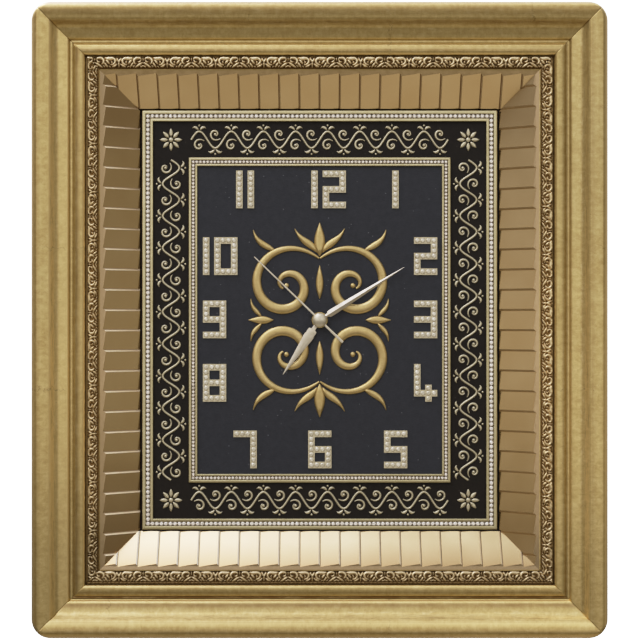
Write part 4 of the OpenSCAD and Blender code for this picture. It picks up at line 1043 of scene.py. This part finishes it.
def spiral(c, r0, r1, a0, a1, n=40, w0=0.5, w1=3.1, q=0.7):
    t = np.linspace(0, 1, n)
    r = r0 + (r1 - r0) * t ** 0.8
    a = np.radians(a0 + (a1 - a0) * t)
    w = w0 + (w1 - w0) * np.sin(np.pi * t ** q)
    return np.column_stack([c[0] + r * np.cos(a), c[1] + r * np.sin(a), w])


def bez(a, b, c, d, n=26, w0=0.3, w1=3.0, q=0.8):
    t = np.linspace(0, 1, n)[:, None]
    u = 1 - t
    a, b, c, d = (np.asarray(x, float) for x in (a, b, c, d))
    p = u ** 3 * a + 3 * u * u * t * b + 3 * u * t * t * c + t ** 3 * d
    w = w0 + (w1 - w0) * np.sin(np.pi * t[:, 0] ** q)
    return np.column_stack([p, w])


SECTION = [(-1.0, 0.0), (-1.0, 0.3), (-0.9, 0.62), (-0.68, 0.86), (-0.42, 0.97), (-0.14, 1.0), (0.14, 1.0), (0.42, 0.97), (0.68, 0.86), (0.9, 0.62), (1.0, 0.3), (1.0, 0.0)]


def stroke(soup, path, z, h, section=SECTION, mirror=False, thin=None, index=0):
    """A raised stroke with a pillowed section along a path of x, y, half-width."""
    p = np.asarray(path, float).copy()
    if mirror:
        p[:, 0] *= -1
    d = np.gradient(p[:, :2], axis=0)
    d /= np.maximum(np.linalg.norm(d, axis=1), 1e-9)[:, None]
    nrm = np.stack([-d[:, 1], d[:, 0]], 1)
    wmax = p[:, 2].max()
    k = len(section)
    v = []
    for (x, y, w), nn in zip(p, nrm):
        hh = h * (0.45 + 0.55 * min(1.0, w / (0.62 * wmax))) if thin is None else h * thin
        for a, b in section:
            v.append((x + nn[0] * a * w, y + nn[1] * a * w, z + hh * b))
    f = []
    m = len(p)
    for i in range(m - 1):
        for j in range(k - 1):
            a = i * k + j
            f.append((a, a + k, a + k + 1, a + 1) if not mirror else (a + 1, a + k + 1, a + k, a))
        f.append((i * k, i * k + k - 1, i * k + 2 * k - 1, i * k + k) if not mirror else (i * k + k, i * k + 2 * k - 1, i * k + k - 1, i * k))
    f.append(list(range(k)) if not mirror else list(range(k - 1, -1, -1)))
    e = (m - 1) * k
    f.append(list(range(e + k - 1, e - 1, -1)) if not mirror else list(range(e, e + k)))
    soup.add(v, f, index)


def stud(soup, x, y, z, r, h, n=20, index=0):
    """A small domed boss."""
    v, f = [], []
    prof = [(1.0, 0.0), (1.0, 0.35), (0.93, 0.6), (0.75, 0.83), (0.45, 0.96)]
    for rr, hh in prof:
        for i in range(n):
            a = 2 * math.pi * i / n
            v.append((x + r * rr * math.cos(a), y + r * rr * math.sin(a), z + h * hh))
    for j in range(len(prof) - 1):
        for i in range(n):
            k = (i + 1) % n
            f.append((j * n + i, j * n + k, (j + 1) * n + k, (j + 1) * n + i))
    v.append((x, y, z + h))
    t = len(v) - 1
    j = len(prof) - 1
    for i in range(n):
        f.append((j * n + i, j * n + (i + 1) % n, t))
    f.append(list(range(n - 1, -1, -1)))
    soup.add(v, f, index)


def centre_arabesque():
    soup = Soup()
    z = DIAL_Z
    for m in (False, True):
        for sy in (1, -1):
            def q(path):
                p = np.asarray(path, float).copy()
                p[:, 1] *= sy
                return p
            stroke(soup, q(spiral((28, 29), 36, 3.5, 140, -400, 90, 0.8, 4.2, 0.75)), z, 2.2, mirror=m)
            stroke(soup, q(bez((2.5, 57), (7, 66), (15, 65), (21, 77), 26, 0.3, 3.0, 0.8)), z, 2.1, mirror=m)
            stroke(soup, q(bez((37, 58), (45, 63), (53, 64), (56, 76), 26, 0.3, 2.7, 0.8)), z, 2.1, mirror=m)
            stroke(soup, q(bez((49, 2.5), (53, 8), (57.5, 9), (58, 18), 22, 0.3, 2.0, 0.8)), z, 2.0, mirror=m)
            stud(soup, (-28 if m else 28), sy * 29, z, 2.2, 2.0)
        stroke(soup, bez((39, 0), (46, 0), (52, 0), (60, 0), 22, 0.3, 3.4, 0.9), z, 2.1, mirror=m)
    for sy in (1, -1):
        stroke(soup, bez((0, sy * 54), (0, sy * 63), (0, sy * 72), (0, sy * 82), 26, 0.3, 4.6, 0.9), z, 2.2)
        stroke(soup, bez((0, sy * 18), (0, sy * 28), (0, sy * 36), (0, sy * 46), 26, 0.3, 3.2, 0.9), z, 2.1)
    ob = soup.make("centre_arabesque", M["relief"], slot="relief_gold", replaces=["centre_relief"], angle=50)
    weld(ob, 50)


centre_arabesque()

BAND = (PANEL_W - 19.2 - DIAL_W) / 2


def border_vine():
    soup = Soup()
    for s in range(4):
        per = 8 if s % 2 == 0 else 10
        half = (DIAL_W if s % 2 == 0 else DIAL_H) / 2 - 2
        e = (DIAL_H if s % 2 == 0 else DIAL_W) / 2 + BAND / 2

        def put(p):
            q = np.asarray(p, float).copy()
            q[:, :2] = turn(s, np.column_stack([q[:, 0], q[:, 1] - e]))
            return q

        t = np.linspace(-1, 1, 24 * per + 1)
        vine = np.column_stack([half * t, 7 * np.sin(np.pi * per * t), np.full(len(t), 0.95)])
        stroke(soup, put(vine), PANEL_Z, 1.2)
        lam = 2 * half / per
        for i in range(2 * per):
            x = half * (-1 + (i + 0.5) / per)
            up = 1 if math.sin(math.pi * per * x / half) < 0 else -1
            # a tendril that curls in the hollow of the bend, ending in a leaf
            c = (x, up * 4.6)
            stroke(soup, put(spiral(c, 5.6, 1.4, -90 * up - 50 * up, up * 250, 30, 0.4, 1.0, 0.8)), PANEL_Z, 1.15)
            px, py, _ = put([(c[0], c[1], 1)])[0]
            stud(soup, px, py, PANEL_Z, 1.35, 1.15, 14)
            # outer leaves either side of the crest
            y = -up * 11.2
            stroke(soup, put(bez((x - 0.6, y * 0.72), (x - 2.2, y * 0.95), (x - 4.2, y * 1.02), (x - 5.8, y * 0.86), 14, 0.2, 1.25)), PANEL_Z, 1.15)
            stroke(soup, put(bez((x + 0.6, y * 0.72), (x + 2.2, y * 0.95), (x + 4.2, y * 1.02), (x + 5.8, y * 0.86), 14, 0.2, 1.25)), PANEL_Z, 1.15)
            px, py, _ = put([(x, y * 1.08, 1)])[0]
            stud(soup, px, py, PANEL_Z, 0.95, 1.0, 12)
    for x in (-1, 1):
        for y in (-1, 1):
            cx, cy = x * (DIAL_W / 2 + BAND / 2), y * (DIAL_H / 2 + BAND / 2)
            for i in range(8):
                a = i * math.pi / 4
                p0 = (cx + 2.6 * math.cos(a), cy + 2.6 * math.sin(a))
                p1 = (cx + 9.4 * math.cos(a), cy + 9.4 * math.sin(a))
                stroke(soup, bez(p0, (p0[0] * 0.7 + p1[0] * 0.3, p0[1] * 0.7 + p1[1] * 0.3), (p0[0] * 0.3 + p1[0] * 0.7, p0[1] * 0.3 + p1[1] * 0.7), p1, 14, 0.3, 1.7, 0.9), PANEL_Z, 1.2)
            stud(soup, cx, cy, PANEL_Z, 2.1, 1.25, 18)
    ob = soup.make("border_arabesque", M["border_relief"], slot="relief_gold", replaces=["border_relief"], angle=50)
    weld(ob, 50)


border_vine()

# ------------------------------------------------------------------ hands


def hand(name, at, z, t, ridge, outline, body, node):
    """A bevelled hand: flat underside, thin edge, and a ridge along the middle."""
    o = np.asarray(outline, float)
    n = len(o)
    a = math.radians(at)
    ca, sa = math.cos(a), math.sin(a)
    v = []
    for y, w in o:
        rise = ridge * min(1.0, w / (0.7 * o[:, 1].max()))
        for x, zz in ((-w, 0.0), (-w, t * 0.55), (0.0, t * 0.55 + rise), (w, t * 0.55), (w, 0.0)):
            v.append((x * ca + y * sa, -x * sa + y * ca, z + zz))
    f = []
    for i in range(n - 1):
        b = i * 5
        for j in range(4):
            f.append((b + j, b + j + 1, b + 5 + j + 1, b + 5 + j))
        f.append((b + 4, b, b + 5, b + 9))
    f.append([0, 4, 3, 2, 1])
    b = (n - 1) * 5
    f.append([b, b + 1, b + 2, b + 3, b + 4])
    soup = Soup()
    soup.add(v, f)
    return soup


def lathe(soup, prof, n=48, cx=0.0, cy=0.0):
    """A ring of revolution about the arbor from closed (radius, z) points."""
    p = np.asarray(prof, float)
    k = len(p)
    v = []
    for i in range(n):
        a = 2 * math.pi * i / n
        for r, z in p:
            v.append((cx + r * math.cos(a), cy + r * math.sin(a), z))
    f = []
    for i in range(n):
        j = (i + 1) % n
        for q in range(k):
            w = (q + 1) % k
            f.append((i * k + q, i * k + w, j * k + w, j * k + q))
    soup.add(v, f)


def finish_hand(soup, name, body, node, angle=20, mat="hand"):
    ob = soup.make(name, M[mat], body=body, slot="hand_silver", replaces=[node], angle=angle)
    weld(ob, angle)
    return ob


h = hand("hour", 214, 28.6, 0.6, 0.5, [(4.2, 1.7), (9.3, 1.65), (9.8, 2.4), (10.2, 3.7), (12.5, 3.95), (14.8, 3.8), (15.6, 4.2), (18, 4.25), (21, 3.95), (25, 3.45), (31, 2.85), (37, 2.2), (43, 1.6), (49, 0.95), (53, 0.45), (55.4, 0.14)], "hour_train", "hour_hand")
lathe(h, [(2.52, 28.6), (5.0, 28.6), (5.0, 29.0), (4.7, 29.2), (2.52, 29.2)])
finish_hand(h, "hour_pointer", "hour_train", "hour_hand")
h = hand("minute", 58, 30.6, 0.6, 0.75, [(3.4, 1.45), (7.6, 1.4), (8.4, 1.8), (9.2, 2.7), (11, 2.9), (14, 2.9), (22, 2.68), (32, 2.36), (44, 1.92), (56, 1.42), (66, 0.98), (76, 0.52), (83.9, 0.13)], "minute_train", "minute_hand")
lathe(h, [(1.62, 30.6), (4.2, 30.6), (4.2, 31.0), (3.9, 31.2), (1.62, 31.2)])
finish_hand(h, "minute_pointer", "minute_train", "minute_hand")
h = hand("second", 314, 32.6, 0.4, 0.12, [(-27, 0.95), (-25.5, 1.1), (-20, 1.05), (-12, 0.9), (-3, 0.82), (0, 0.8), (10, 0.76), (20, 0.72), (40, 0.64), (60, 0.55), (76.4, 0.42)], "second_train", "second_hand")
lathe(h, [(0.52, 32.6), (2.6, 32.6), (2.6, 32.9), (2.4, 33.0), (0.52, 33.0)], 32)
finish_hand(h, "second_pointer", "second_train", "second_hand", 30)
cap = Soup()
lathe(cap, [(0.53, 33.02), (5.7, 33.02), (6.1, 33.25), (6.1, 33.6)] + ell(0, 33.6, 6.1, 2.6, 4, 88, 14) + [(0.02, 36.2), (0.02, 34.6), (0.53, 34.6)], 56)
finish_hand(cap, "centre_cap", "second_train", "second_hand_cap", 40, "cap")

# ------------------------------------------------------------------ carried-over nodes and their finishes
FINISH = {
    "slat": ["slat_liner_top"],
    "slat_left": ["slat_liner_left"],
    "slat_right": ["slat_liner_right"],
    "slat_low": ["slat_liner_bottom"],
    "board": ["base_board"],
    "zinc": ["corner_nails", "board_screws", "hanger_screws", "panel_screws", "hanger_plate"],
    "border": ["border_panel"],
    "dial": ["dial_panel"],
    "plate": ["numeral_plates"],
    "case": ["movement_front_case", "movement_rear_cover"],
    "rubber": ["movement_gasket"],
    "brass": ["neck_washer", "neck_nut"],
    "contact": ["positive_contact", "negative_contact"],
    "pcb": ["circuit_board"],
    "epoxy": ["driver_chip"],
    "can": ["quartz_can", "battery_cell"],
    "wheel": ["coil_bobbin", "step_wheel", "second_wheel", "third_wheel", "minute_wheel"],
    "copper": ["coil_winding"],
    "steel": ["coil_core", "stator_plate", "rotor_pinion"],
    "magnet": ["rotor_magnet"],
    "wheel_brass": ["centre_wheel", "hour_wheel"],
    "knob": ["setting_knob"],
}
for key, names in FINISH.items():
    for n in names:
        ob = nodes[n]
        ob.data.materials.clear()
        ob.data.materials.append(M[key])


def second_finish(node, key, chosen):
    """Gives the faces of a node that pass a test on their normal another finish."""
    me = nodes[node].data
    me.materials.append(M[key])
    k = len(me.materials) - 1
    for p in me.polygons:
        if chosen(p.normal):
            p.material_index = k


for n in ("top", "bottom", "left", "right"):
    along, across = ("x", "z") if n in ("top", "bottom") else ("z", "x")
    edge, lip = {"top": ("slat_edge_top", "lip_top"), "bottom": ("slat_edge_low", "lip_low"),
                 "left": ("slat_edge", "lip_left"), "right": ("slat_edge_right", "lip_right")}[n]
    second_finish("slat_liner_" + n, edge, lambda v: 0.25 < abs(getattr(v, along)) < 0.69)
    second_finish("slat_liner_" + n, lip, lambda v: v.y < -0.95)
    if n == "top":
        # painted shade on the front-facing end faces of the top slats
        second_finish("slat_liner_top", "slat_end_top", lambda v: v.y < -0.995)
    # painted shade: the slat feet and the front of the base board, seen in the gap round the panel, are made near black
    second_finish("slat_liner_" + n, "board_front", lambda v: abs(getattr(v, across)) > 0.9)
second_finish("base_board", "board_front", lambda v: v.y < -0.5)
second_finish("battery_cell", "jacket", lambda v: abs(v.x) < 0.5)

# ------------------------------------------------------------------ floor, light, surroundings
me = bpy.data.meshes.new("floor")
me.from_pydata([(-4, -4, -2.6), (4, -4, -2.6), (4, 4, -2.6), (-4, 4, -2.6)], [], [(0, 1, 2, 3)])
floor = bpy.data.objects.new("floor", me)
scene.collection.objects.link(floor)
fl = Mat("floor")
fl.color(fl.ramp(fl.noise(fl.coords((3, 3, 3)), 1.0, 3.0), [(0.3, lin(226, 225, 222)), (0.7, lin(233, 232, 229))]))
fl.set(Roughness=0.8)
me.materials.append(fl.m)
floor.visible_glossy = floor.visible_diffuse = False

# a plain white backdrop all round, which only the camera sees
bm = bmesh.new()
bmesh.ops.create_icosphere(bm, subdivisions=4, radius=9.0)
me = bpy.data.meshes.new("backdrop")
bm.to_mesh(me)
bm.free()
backdrop = bpy.data.objects.new("backdrop", me)
scene.collection.objects.link(backdrop)
bd = Mat("backdrop")
bd.color(bd.ramp(bd.noise(bd.coords((1, 1, 1)), 1.0, 2.0), [(0.3, lin(238, 238, 238)), (0.7, lin(240, 240, 240))]))
bd.set(Roughness=1.0, Specular_IOR_Level=0.0, Emission_Color=(1.0, 1.0, 1.0, 1.0), Emission_Strength=2.75)
me.materials.append(bd.m)
backdrop.visible_glossy = backdrop.visible_diffuse = backdrop.visible_transmission = backdrop.visible_shadow = False
backdrop.visible_volume_scatter = False

w = bpy.data.worlds.new("studio")
scene.world = w
w.use_nodes = True
nt = w.node_tree
nt.nodes.clear()


def wn(kind, **props):
    n = nt.nodes.new(kind)
    for k, v in props.items():
        setattr(n, k, v)
    return n


def wmath(op, a, b=None, c=None):
    n = wn("ShaderNodeMath", operation=op)
    for i, x in enumerate((a, b, c)):
        if x is None:
            continue
        if isinstance(x, (int, float)):
            n.inputs[i].default_value = x
        else:
            nt.links.new(x, n.inputs[i])
    return n.outputs[0]


def wcurve(value, stops):
    """A smooth curve through (input, output) points; inputs span -1 to 1, outputs 0 to 4."""
    n = wn("ShaderNodeValToRGB")
    n.color_ramp.interpolation = "EASE"
    e = n.color_ramp.elements
    while len(e) < len(stops):
        e.new(0.5)
    for i, (a, b) in enumerate(stops):
        e[i].position = (a + 1) / 2
        e[i].color = (b / 4, b / 4, b / 4, 1)
    nt.links.new(wmath("MULTIPLY_ADD", value, 0.5, 0.5), n.inputs["Fac"])
    return wmath("MULTIPLY", n.outputs["Color"], 4.0)


tc = wn("ShaderNodeTexCoord")
sx = wn("ShaderNodeSeparateXYZ")
nt.links.new(tc.outputs["Generated"], sx.inputs[0])
X, Y, Z = sx.outputs
up = wcurve(Z, [(-1.0, 0.62), (-0.75, 0.5), (-0.45, 0.26), (-0.2, 0.26), (-0.06, 0.62), (0.06, 1.3), (0.34, 1.5), (0.68, 1.95), (1.0, 2.3)])
right_up = wcurve(Z, [(-1.0, 0.5), (-0.4, 0.5), (-0.28, 0.58), (-0.16, 1.0), (-0.06, 0.62), (0.02, 0.85), (0.12, 0.9), (0.4, 1.1), (1.0, 2.3)])
left_up = wcurve(Z, [(-1.0, 0.5), (-0.3, 0.5), (-0.03, 0.72), (0.05, 0.62), (0.16, 1.0), (0.28, 0.64), (0.45, 0.9), (1.0, 2.3)])
right = wcurve(X, [(-1.0, 0.0), (0.72, 0.0), (0.92, 1.0), (1.0, 1.0)])
left = wcurve(X, [(-1.0, 1.0), (-0.92, 1.0), (-0.72, 0.0), (1.0, 0.0)])
up = wmath("MULTIPLY_ADD", wmath("SUBTRACT", right_up, up), right, up)
up = wmath("MULTIPLY_ADD", wmath("SUBTRACT", left_up, up), left, up)
side = wcurve(X, [(-1.0, 0.7), (-0.92, 0.66), (-0.78, 0.48), (-0.6, 0.74), (-0.42, 1.18), (-0.25, 1.18), (-0.1, 1.0),
                  (0.1, 1.0), (0.25, 1.18), (0.42, 1.18), (0.6, 0.76), (0.78, 0.48), (0.92, 0.48), (1.0, 0.51)])
tilt = wcurve(X, [(-1.0, 1.5), (-0.24, 1.5), (-0.18, 1.0), (-0.13, 0.62), (-0.1, 0.49), (-0.04, 0.44), (0.1, 0.44), (1.0, 0.5)])
rear = wcurve(Y, [(-1.0, 1.0), (-0.25, 1.0), (0.1, 1.9), (1.0, 1.9)])
tilt = wmath("MULTIPLY", tilt, rear)
high = wcurve(Z, [(-1.0, 0.0), (0.1, 0.0), (0.5, 1.0), (1.0, 1.0)])
tilt = wmath("MULTIPLY_ADD", wmath("SUBTRACT", tilt, 1.0), high, 1.0)
light = wmath("MULTIPLY", wmath("MULTIPLY", up, side), tilt)
back = wcurve(Y, [(-1.0, 0.0), (0.82, 0.0), (0.93, 1.0), (1.0, 1.0)])
total = wmath("ADD", wmath("MULTIPLY", light, wmath("SUBTRACT", 1.0, back)), wmath("MULTIPLY", back, 2.75))
# the sides and the ground throw back a warmer light than the ceiling
warm = wmath("ADD", wcurve(wmath("ABSOLUTE", X), [(-1.0, 0.0), (0.4, 0.0), (0.8, 1.0), (1.0, 1.0)]),
             wcurve(Z, [(-1.0, 1.0), (-0.28, 1.0), (0.02, 0.0), (1.0, 0.0)]))
warm = wmath("MULTIPLY", wmath("MINIMUM", warm, 1.0), wmath("MULTIPLY", wmath("SUBTRACT", 1.0, high), wmath("SUBTRACT", 1.0, back)))
tint = wn("ShaderNodeMix", data_type="RGBA")
tint.inputs[6].default_value = (1.0, 1.0, 1.0, 1.0)
tint.inputs[7].default_value = (1.0, 0.89, 0.7, 1.0)
nt.links.new(warm, tint.inputs["Factor"])
sky = wn("ShaderNodeMix", data_type="RGBA")
sky.inputs[6].default_value = (0.97, 1.0, 1.06, 1.0)
sky.inputs[7].default_value = (0.94, 1.0, 1.36, 1.0)
nt.links.new(wcurve(X, [(-1.0, 0.0), (-0.5, 0.0), (-0.3, 1.0), (-0.2, 1.0), (-0.12, 0.3), (-0.06, 0.0), (1.0, 0.0)]), sky.inputs["Factor"])
cool = wn("ShaderNodeMix", data_type="RGBA")
nt.links.new(sky.outputs[2], cool.inputs[7])
nt.links.new(wmath("MULTIPLY", high, wmath("SUBTRACT", 1.0, back)), cool.inputs["Factor"])
nt.links.new(tint.outputs[2], cool.inputs[6])
bg = wn("ShaderNodeBackground")
nt.links.new(cool.outputs[2], bg.inputs["Color"])
nt.links.new(total, bg.inputs["Strength"])
wo = wn("ShaderNodeOutputWorld")
nt.links.new(bg.outputs[0], wo.inputs["Surface"])


def area(name, at, aim, size, power, tint=(1, 1, 1)):
    d = bpy.data.lights.new(name, "AREA")
    d.shape = "RECTANGLE"
    d.size, d.size_y = size
    d.energy = power
    d.color = tint
    o = bpy.data.objects.new(name, d)
    scene.collection.objects.link(o)
    o.location = at
    o.rotation_euler = (Vector(aim) - Vector(at)).to_track_quat("-Z", "Y").to_euler()
    o.visible_camera = False
    return o


area("key", (-0.25, -1.4, 1.2), (0, -0.03, -0.25), (1.4, 0.8), 3.0)
